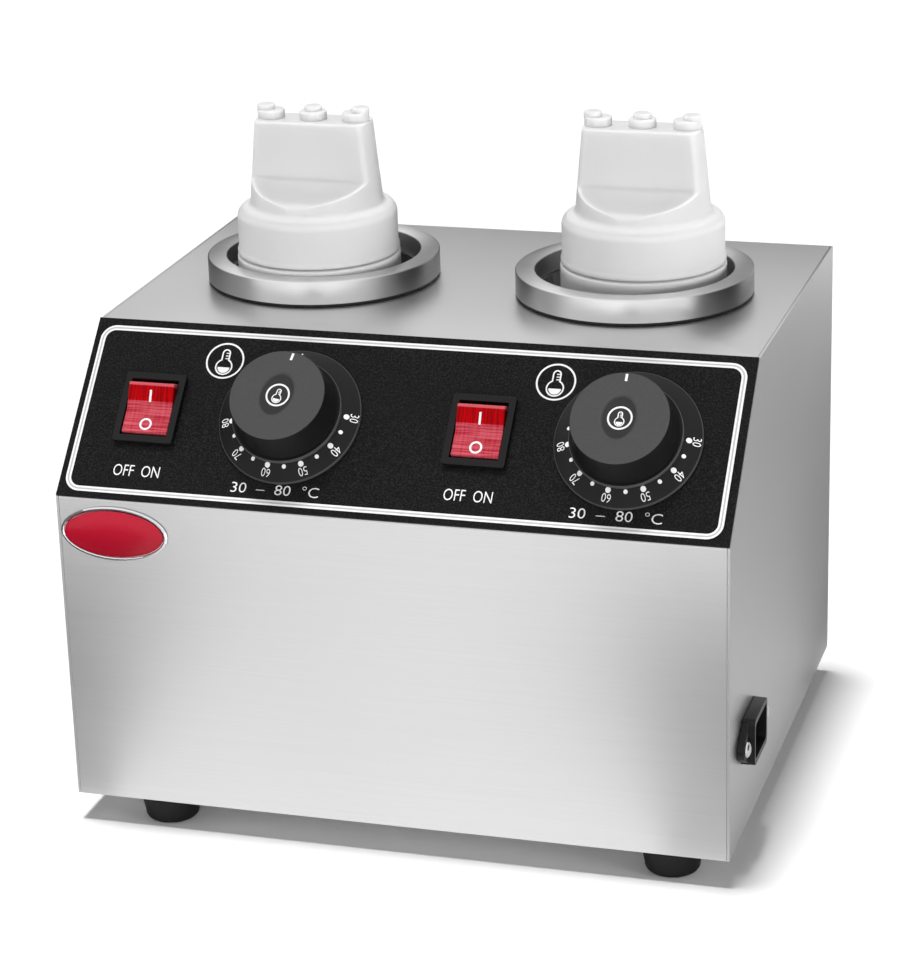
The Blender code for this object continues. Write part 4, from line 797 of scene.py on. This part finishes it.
# Mains inlet
# A black moulded inlet with a flange and two ears is screwed to the right end sheet. Three plated
# blades stand in its socket, and their tails carry the leads inside.

INLET_EDGE = 0.0003
INLET_GRAIN_DEPTH = 0.00004

inlet_black = Finish("inlet_black", (0.006, 0.006, 0.006), 0.34, Specular_IOR_Level=0.3)
grain = inlet_black.noise((1600, 1600, 1600), detail=2.0)
inlet_black.set(
    Roughness=grain * 0.2 + 0.26,
    Normal=inlet_black.bump(grain, INLET_GRAIN_DEPTH, 0.4),
)
blade_plate = Finish("blade_plate", (0.78, 0.76, 0.70), 0.2, Metallic=1.0)
blade_plate.set(Roughness=blade_plate.noise((500, 500, 500)) * 0.15 + 0.14)
silicone = Finish("lead_silicone", (0.40, 0.03, 0.03), 0.48)
silicone.set(Roughness=silicone.noise((800, 800, 800)) * 0.2 + 0.4)
socket = softened("inlet_socket", INLET_EDGE, inlet_black.material, "housing")
coat(blade_plate.material, "inlet_pin_live", "inlet_pin_neutral", "inlet_pin_earth")
coat(zinc.material, "inlet_screw_front", "inlet_screw_rear")
for side in ("left", "right"):
    coat(silicone.material, f"{side}_supply_lead", f"{side}_switch_lead", f"{side}_heater_lead")


# Badge
# A bright plated oval rim is stuck to the front, at its upper left. It holds a domed inlay in deep
# red, left blank, with painted shade that darkens it towards its lower edge.

# Heights between which the inlay's painted shade fades from its darkest to none
INLAY_DARK_UP_TO = 0.126
INLAY_PALE_FROM = 0.152

plate = Finish("badge_plating", (0.80, 0.80, 0.82), 0.12, Metallic=1.0)
plate.set(Roughness=plate.noise((700, 700, 700)) * 0.1 + 0.08)
badge_red = Finish("badge_red", (0.42, 0.003, 0.018), 0.16, Specular_IOR_Level=0.25)
painted_inlay_shade = badge_red.along("Z").between(INLAY_DARK_UP_TO, INLAY_PALE_FROM)
badge_red.set(
    Base_Color=badge_red.mix(painted_inlay_shade, (0.24, 0.001, 0.010), (0.46, 0.004, 0.024)),
    Roughness=badge_red.noise((900, 900, 900)) * 0.08 + 0.13,
)
coat(plate.material, "badge_rim")
coat(badge_red.material, "badge_inlay")


# Bottles and caps
# Blow-moulded polyethylene bottles stand in the wells. Each screw cap is moulded in a stiffer grade:
# a beaded skirt, a round shoulder, and a cone cut flat on both sides under three closed nozzles.

BOTTLE_RADIUS = 0.03775
BOTTLE_WALL = 0.0011
BOTTLE_BOTTOM = DECK - 0.1647
BOTTLE_FLOOR = 0.0018
BOTTLE_FOOT_EDGE = 0.005
SHOULDER_TOP = DECK + 0.0138
SHOULDER_DROP = 0.0030
SHOULDER_EDGE = 0.0012
SHOULDER_ROUNDING = 0.0014
NECK_RADIUS = 0.0330
NECK_TOP = DECK + 0.0329
NECK_EDGE = 0.0003
THREAD_PITCH = 0.0040
THREAD_TURNS = 2
THREAD_START = DECK + 0.0180
THREAD_STANDS = 0.0011
THREAD_SUNK = 0.0005
THREAD_FOOT_HALF = 0.0009
THREAD_CREST_HALF = 0.0003
CAP_BOTTOM = DECK + 0.0144
CAP_RADIUS = 0.0369
CAP_MOUTH_EDGE = 0.0003
BEAD_STANDS = 0.0006
BEAD_EDGE = 0.0005
BEAD_SLOPE = 0.0014
CAP_BEAD_TOP = CAP_BOTTOM + 0.0030
CAP_WALL = 0.0020
CAP_SHOULDER = DECK + 0.0367
CAP_SHOULDER_RADIUS = 0.0055
SPOUT_BASE_RADIUS = 0.0307
SPOUT_TOP_RADIUS = 0.0270
SPOUT_WALL = 0.0016
SPOUT_TOP = DECK + 0.0755
SPOUT_FLOOR = DECK + 0.0490
SPOUT_HALF = 0.0100
# The step below the flat faces: its rise over its run, and how softly it starts and ends
SPOUT_LEDGE = 0.35
SPOUT_HOLLOW = 0.0015
SPOUT_BRINK = 0.0030
SPOUT_CORNER = 0.0030
SPOUT_EDGE = 0.0008
SPOUT_FILLET = 0.0012
SPOUT_FILLET_RISE = 0.0014
# A spout's flat face stays at least this far inside its circle
LEAST_FLAT = 0.00002
NOZZLE_PITCH = 0.0203
NOZZLE_RADIUS = 0.0062
NOZZLE_RISE = 0.0040
NOZZLE_EDGE = 0.0009
TIP_RADIUS = 0.0041
TIP_RISE = 0.0023
TIP_OUTWARD = 0.0024
# How far a part of the cap reaches down into the part that it is welded to
OVERLAP = 0.001
CAP_SHARP = math.radians(30)
SCATTER_REACH = (0.006, 0.006, 0.006)
SKIN_DEPTH = 0.00004
FOAM_DEPTH = 0.0001


def milky(name, dark, pale, roughness, scatter):
    """Natural polyethylene: light spreads a little way in, with faint flow marks from the mould."""
    plastic = Finish(
        name, pale, roughness,
        Subsurface_Weight=scatter, Subsurface_Radius=SCATTER_REACH, Subsurface_Scale=0.8)
    flow = plastic.noise((60, 60, 18), detail=2.0)
    skin = plastic.noise((900, 900, 900), detail=2.0)
    plastic.set(
        Base_Color=plastic.mix(flow, dark, pale),
        Roughness=skin * 0.15 + (roughness - 0.07),
        Normal=plastic.bump(skin, SKIN_DEPTH, 0.3),
    )
    return plastic.material


cap_white = milky("cap_polyethylene", (0.65, 0.65, 0.65), (0.69, 0.69, 0.69), 0.40, 0.85)
bottle_white = milky("bottle_polyethylene", (0.84, 0.84, 0.84), (0.89, 0.89, 0.89), 0.36, 0.75)
liner_foam = Finish("liner_foam", (0.82, 0.82, 0.80), 0.8)
liner_foam.set(Normal=liner_foam.bump(liner_foam.noise((2500, 2500, 2500)), FOAM_DEPTH, 0.5))


def cut(target, tool, operation="DIFFERENCE"):
    """Carves the tool out of the target, or welds it on, and drops the tool."""
    step = target.modifiers.new(tool.name, "BOOLEAN")
    step.operation = operation
    step.object = tool
    step.solver = "EXACT"
    settle(target)
    bpy.data.objects.remove(tool)


def settle(target):
    """Works the modifiers into the mesh."""
    bpy.context.view_layer.update()
    made = bpy.data.meshes.new_from_object(target.evaluated_get(bpy.context.evaluated_depsgraph_get()))
    target.modifiers.clear()
    target.data = made


def spout_outline(radius, half, corner):
    """A circle cut flat on both sides, with its four corners rounded, as points round it."""
    half = min(half, radius - LEAST_FLAT)
    across = math.sqrt((radius - corner) ** 2 - (half - corner) ** 2)
    turn = math.degrees(math.atan2(half - corner, across))
    quarter = arc((0, 0), radius, 0, turn, 12)[:-1] + arc((across, half - corner), corner, turn, 90, 8)
    quarter += [(across * share, half) for share in (0.75, 0.5, 0.25)]
    back = [(-x, y) for x, y in quarter[:0:-1]]
    upper = quarter + [(0, half)] + back + [(-radius, 0)]
    return upper + [(x, -y) for x, y in upper[-2:0:-1]]


def spout(name, inset):
    """The cone under the nozzles, lofted through its outlines, with a soft step below its flat faces."""
    shape = bmesh.new()
    outside = not inset
    foot = CAP_SHOULDER - (OVERLAP if outside else CAP_WALL)
    top = SPOUT_TOP - inset
    fall = SPOUT_TOP - CAP_SHOULDER
    # Levels lie close together where the fillet, the step and the top edge curve
    levels = [foot, *[CAP_SHOULDER + up for up in (0.0002, 0.0005, 0.0009, SPOUT_FILLET_RISE)]]
    levels += [CAP_SHOULDER + 0.0020 + 0.0006 * i for i in range(26)]
    levels += [SPOUT_FLOOR + up for up in (0.0080, 0.0160)]
    levels += [top - down for down in (SPOUT_EDGE, 0.0005, 0.00025, 0.00008, 0)]
    loops = []
    for z in levels:
        up = z - CAP_SHOULDER
        radius = SPOUT_BASE_RADIUS - (SPOUT_BASE_RADIUS - SPOUT_TOP_RADIUS) * up / fall - inset
        radius += SPOUT_FILLET * max(0, 1 - up / SPOUT_FILLET_RISE) ** 2 * outside
        below = (SPOUT_FLOOR - z) / SPOUT_LEDGE
        half = SPOUT_HALF - inset + (below + math.hypot(below, SPOUT_HOLLOW)) / 2
        half = (half + radius - math.hypot(half - radius, SPOUT_BRINK)) / 2
        rounding = 1 - min((top - z) / SPOUT_EDGE, 1)
        edge = SPOUT_EDGE * (1 - math.sqrt(1 - rounding ** 2)) * outside
        outline = spout_outline(radius - edge, half - edge, SPOUT_CORNER - edge)
        loops.append([shape.verts.new((x, y, z)) for x, y in outline])
    for lower, upper in zip(loops, loops[1:]):
        for i in range(len(lower)):
            shape.faces.new((lower[i - 1], lower[i], upper[i], upper[i - 1]))
    shape.faces.new(loops[0])
    shape.faces.new(loops[-1])
    bmesh.ops.remove_doubles(shape, verts=shape.verts, dist=WELD / 2)
    return shown(name, shape, cap_white)


def nozzle_part(name, radius, foot, top, steps):
    """A short solid cylinder with a rounded top edge."""
    return turned(name, [
        (0, foot - OVERLAP), (radius, foot - OVERLAP),
        *arc((radius - NOZZLE_EDGE, top - NOZZLE_EDGE), NOZZLE_EDGE, 0, 90, 5), (0, top),
    ], cap_white, steps=steps)


def cap_mesh(name):
    """The cap: a turned body with spout and nozzles welded on, then hollowed from below."""
    shoulder_centre = (CAP_RADIUS - CAP_SHOULDER_RADIUS, CAP_SHOULDER - CAP_SHOULDER_RADIUS)
    inside = CAP_RADIUS - CAP_WALL
    body = turned(name, [
        (0, CAP_BOTTOM), (CAP_RADIUS - CAP_MOUTH_EDGE, CAP_BOTTOM),
        *arc((CAP_RADIUS + BEAD_STANDS - BEAD_EDGE, CAP_BOTTOM + BEAD_EDGE), BEAD_EDGE, -90, 0, 3),
        (CAP_RADIUS + BEAD_STANDS, CAP_BEAD_TOP - BEAD_SLOPE),
        (CAP_RADIUS + BEAD_STANDS / 2, CAP_BEAD_TOP - BEAD_EDGE), (CAP_RADIUS, CAP_BEAD_TOP + BEAD_EDGE),
        *arc(shoulder_centre, CAP_SHOULDER_RADIUS, 0, 90, 12), (0, CAP_SHOULDER),
    ], cap_white, steps=128)
    cut(body, spout("spout", 0.0), "UNION")
    nozzle_top = SPOUT_TOP + NOZZLE_RISE
    for place in (-1, 0, 1):
        collar = nozzle_part("collar", NOZZLE_RADIUS, SPOUT_TOP, nozzle_top, 48)
        collar.location.x = place * NOZZLE_PITCH
        cut(body, collar, "UNION")
        tip = nozzle_part("tip", TIP_RADIUS, nozzle_top, nozzle_top + TIP_RISE, 40)
        tip.location.x = place * (NOZZLE_PITCH + TIP_OUTWARD)
        cut(body, tip, "UNION")
    cut(body, spout("spout_hollow", SPOUT_WALL))
    cut(body, turned("skirt_hollow", [
        (0, CAP_BOTTOM - CAP_WALL), (inside, CAP_BOTTOM - CAP_WALL),
        (inside, CAP_SHOULDER - CAP_WALL), (0, CAP_SHOULDER - CAP_WALL),
    ], cap_white))
    body.data.shade_smooth()
    body.data.set_sharp_from_angle(angle=CAP_SHARP)
    return body


def thread_mesh(name):
    """The neck's raised thread, which runs out to nothing at both ends."""
    per_turn = 48
    run_out = 8
    last = THREAD_TURNS * per_turn
    shape = bmesh.new()
    loops = []
    for i in range(last + 1):
        turn = math.tau * i / per_turn
        z = THREAD_START + THREAD_PITCH * i / per_turn
        taper = min(1, i / run_out, (last - i) / run_out) * 0.9 + 0.1
        foot = NECK_RADIUS - THREAD_SUNK
        crest = NECK_RADIUS + THREAD_STANDS * taper
        section = ((foot, -THREAD_FOOT_HALF), (crest, -THREAD_CREST_HALF),
                   (crest, THREAD_CREST_HALF), (foot, THREAD_FOOT_HALF))
        ring = [(radius * math.cos(turn), radius * math.sin(turn), z + rise) for radius, rise in section]
        loops.append([shape.verts.new(point) for point in ring])
    for lower, upper in zip(loops, loops[1:]):
        for i in range(4):
            shape.faces.new((lower[i], lower[i - 1], upper[i - 1], upper[i]))
    shape.faces.new(loops[0])
    shape.faces.new(loops[-1])
    return shown(name, shape, bottle_white)


def bottle_mesh(name):
    """The blown bottle with its wall, its open neck and the thread on it."""
    inside = BOTTLE_RADIUS - BOTTLE_WALL
    neck_inside = NECK_RADIUS - BOTTLE_WALL
    floor = BOTTLE_BOTTOM + BOTTLE_FLOOR
    shoulder = SHOULDER_TOP - SHOULDER_DROP
    foot_centre = (BOTTLE_RADIUS - BOTTLE_FOOT_EDGE, BOTTLE_BOTTOM + BOTTLE_FOOT_EDGE)
    shoulder_centre = (BOTTLE_RADIUS - SHOULDER_EDGE, SHOULDER_TOP - SHOULDER_ROUNDING)
    body = turned(name, [
        (0, BOTTLE_BOTTOM), *arc(foot_centre, BOTTLE_FOOT_EDGE, -90, 0, 8),
        *arc(shoulder_centre, SHOULDER_EDGE, 0, 80, 4),
        (NECK_RADIUS, SHOULDER_TOP), (NECK_RADIUS, NECK_TOP - NECK_EDGE),
        (NECK_RADIUS - NECK_EDGE, NECK_TOP), (neck_inside, NECK_TOP),
        (neck_inside, SHOULDER_TOP - BOTTLE_WALL), (inside - BOTTLE_WALL, shoulder - BOTTLE_WALL),
        (inside, shoulder - 2 * SHOULDER_DROP), (inside, floor + BOTTLE_FOOT_EDGE),
        (inside - BOTTLE_FOOT_EDGE, floor), (0, floor),
    ], bottle_white, steps=128)
    cut(body, thread_mesh("thread"), "UNION")
    body.data.shade_smooth()
    body.data.set_sharp_from_angle(angle=SHARP)
    return body


for side in ("left", "right"):
    low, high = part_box(f"{side}_bottle")
    centre = (low + high) / 2
    for kind, made, slot in (("bottle", bottle_mesh(f"{side}_bottle_blown"), "bottle_plastic"),
                             ("cap", cap_mesh(f"{side}_cap_moulded"), "cap_plastic")):
        made.location = (centre.x, centre.y, 0)
        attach(made, f"{side}_{kind}")
        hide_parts(f"{side}_{kind}")
    coat(liner_foam.material, f"{side}_cap_liner")


# Studio
# A white floor in a white surrounding, with a broad sun almost overhead and three low lamps. Grey
# cards, seen only in reflections, give the steel its darker sides, back and corners.

FLOOR_HALF = 6.0
CARD_TOP = 0.45
BACK_CARD_TOP = 0.30
# The places in front of the case between which a card goes from its far tone to its near tone
CARD_CHANGE = (-0.40, -0.14)
LAMP_UP = 0.24
LAMP_AIM = (0, 0, 0.12)
LAMP_WIDTH = 0.9
SUN_WIDTH = math.radians(11)
CAMERA_PLACE = (0.38402, -1.27662, 0.61693)
CAMERA_TURN = math.radians(17.12)
CAMERA_DOWN = math.radians(19.97)
CAMERA_ROLL = math.radians(-1.76)
CAMERA_SENSOR_MM = 36
CAMERA_LENS_MM = 115.117


def by_sight(shading, given, seen):
    """One colour for the light that a surface gives, and another where camera or reflections see it."""
    camera, glossy, through = [
        shading.node("ShaderNodeLightPath", {}, {}, f"Is {kind} Ray")
        for kind in ("Camera", "Glossy", "Transmission")]
    share = camera.math("MAXIMUM", camera.math("MAXIMUM", camera, glossy), through)
    return shading.mix(share, given, seen)


floor_white = Finish("studio_floor", (0.95, 0.95, 0.95), 0.9, Specular_IOR_Level=0.0)
floor_white.set(
    Emission_Color=by_sight(floor_white, (0, 0, 0), (0.01, 0.01, 0.01)),
    Emission_Strength=1.0,
)
shape = bmesh.new()
bmesh.ops.create_grid(shape, x_segments=1, y_segments=1, size=FLOOR_HALF)
shown("studio_floor", shape, floor_white.material)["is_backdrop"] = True

world = bpy.data.worlds.new("studio")
bpy.context.scene.world = world
world.use_nodes = True
around = Shading(world.node_tree)
background = world.node_tree.nodes["Background"]
around.feed(background.inputs["Color"], by_sight(around, (0.12, 0.12, 0.12), (1, 1, 1)))


def card(name, corners, far, near=None):
    """A flat card that only reflections show, of one grey or with another grey close to the case."""
    shape = bmesh.new()
    shape.faces.new([shape.verts.new(corner) for corner in corners])
    paper = Finish(name, (far, far, far), 1.0, Specular_IOR_Level=0.0)
    if near:
        closeness = paper.along("Y").between(*CARD_CHANGE)
        paper.set(Base_Color=paper.mix(closeness, (far, far, far), (near, near, near)))
    made = shown(name, shape, paper.material)
    made.visible_camera = False
    made.visible_diffuse = False
    made.visible_shadow = False
    made.visible_transmission = False
    made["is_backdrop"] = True


def upright(x_start, y_start, x_end, y_end, foot, top):
    """The corners of a card that stands on one line."""
    return [(x_start, y_start, foot), (x_end, y_end, foot), (x_end, y_end, top), (x_start, y_start, top)]


def lying(height, *corners):
    """The corners of a card that lies just above the floor."""
    return [(x, y, height) for x, y in corners]


card("left_card", upright(-0.46, -0.30, -0.46, 0.7, 0.002, CARD_TOP), 0.22)
card("right_card", upright(0.50, -0.16, 0.50, 0.35, 0.002, CARD_TOP), 0.16)
card("back_card", upright(-0.6, 0.33, 0.14, 0.33, 0.0, BACK_CARD_TOP), 0.15)
card("front_left_card", lying(
    0.001, (-0.42, -0.55), (-0.28, -0.55), (-0.145, -0.14), (-0.42, -0.14)), 0.02, near=0.48)
card("front_right_card", lying(
    0.001, (0.0, -0.53), (0.32, -0.53), (0.32, -0.14), (0.115, -0.14)), 0.10, near=0.55)
card("side_card", lying(
    0.001, (0.155, -0.12), (0.8, -0.12), (0.8, 0.8), (0.155, 0.8)), 0.60)
card("rear_side_card", lying(
    0.002, (0.155, 0.085), (0.33, 0.66), (0.33, 1.0), (0.155, 0.45)), 0.12)


def lamp(name, kind, place, aim, power, **looks):
    """A light aimed at a place, which reflections don't show."""
    light = bpy.data.lights.new(name, kind)
    light.energy = power
    for look, value in looks.items():
        setattr(light, look, value)
    made = bpy.data.objects.new(name, light)
    bpy.context.scene.collection.objects.link(made)
    made.visible_glossy = False
    made.location = place
    made.rotation_euler = (Vector(aim) - Vector(place)).to_track_quat("-Z", "Y").to_euler()


lamp("overhead_sun", "SUN", (-0.15, 0.0, 2.0), (0, 0, 0), 3.0, angle=SUN_WIDTH)
for name, x, y, power in (("front_lamp", 0.3, -2.2, 22), ("right_lamp", 2.2, -0.6, 34),
                          ("left_lamp", -2.2, -0.8, 14)):
    lamp(name, "AREA", (x, y, LAMP_UP), LAMP_AIM, power, shape="DISK", size=LAMP_WIDTH)

camera_data = bpy.data.cameras.new("photo_camera")
camera_data.sensor_width = CAMERA_SENSOR_MM
camera_data.lens = CAMERA_LENS_MM
camera = bpy.data.objects.new("photo_camera", camera_data)
bpy.context.scene.collection.objects.link(camera)
turn = Matrix.Rotation(CAMERA_TURN, 4, "Z")
tip = Matrix.Rotation(math.radians(90) - CAMERA_DOWN, 4, "X")
roll = Matrix.Rotation(CAMERA_ROLL, 4, "Z")
camera.matrix_world = Matrix.Translation(CAMERA_PLACE) @ turn @ tip @ roll
bpy.context.scene.camera = camera
bpy.context.scene.view_settings.view_transform = "Standard"

low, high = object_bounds()
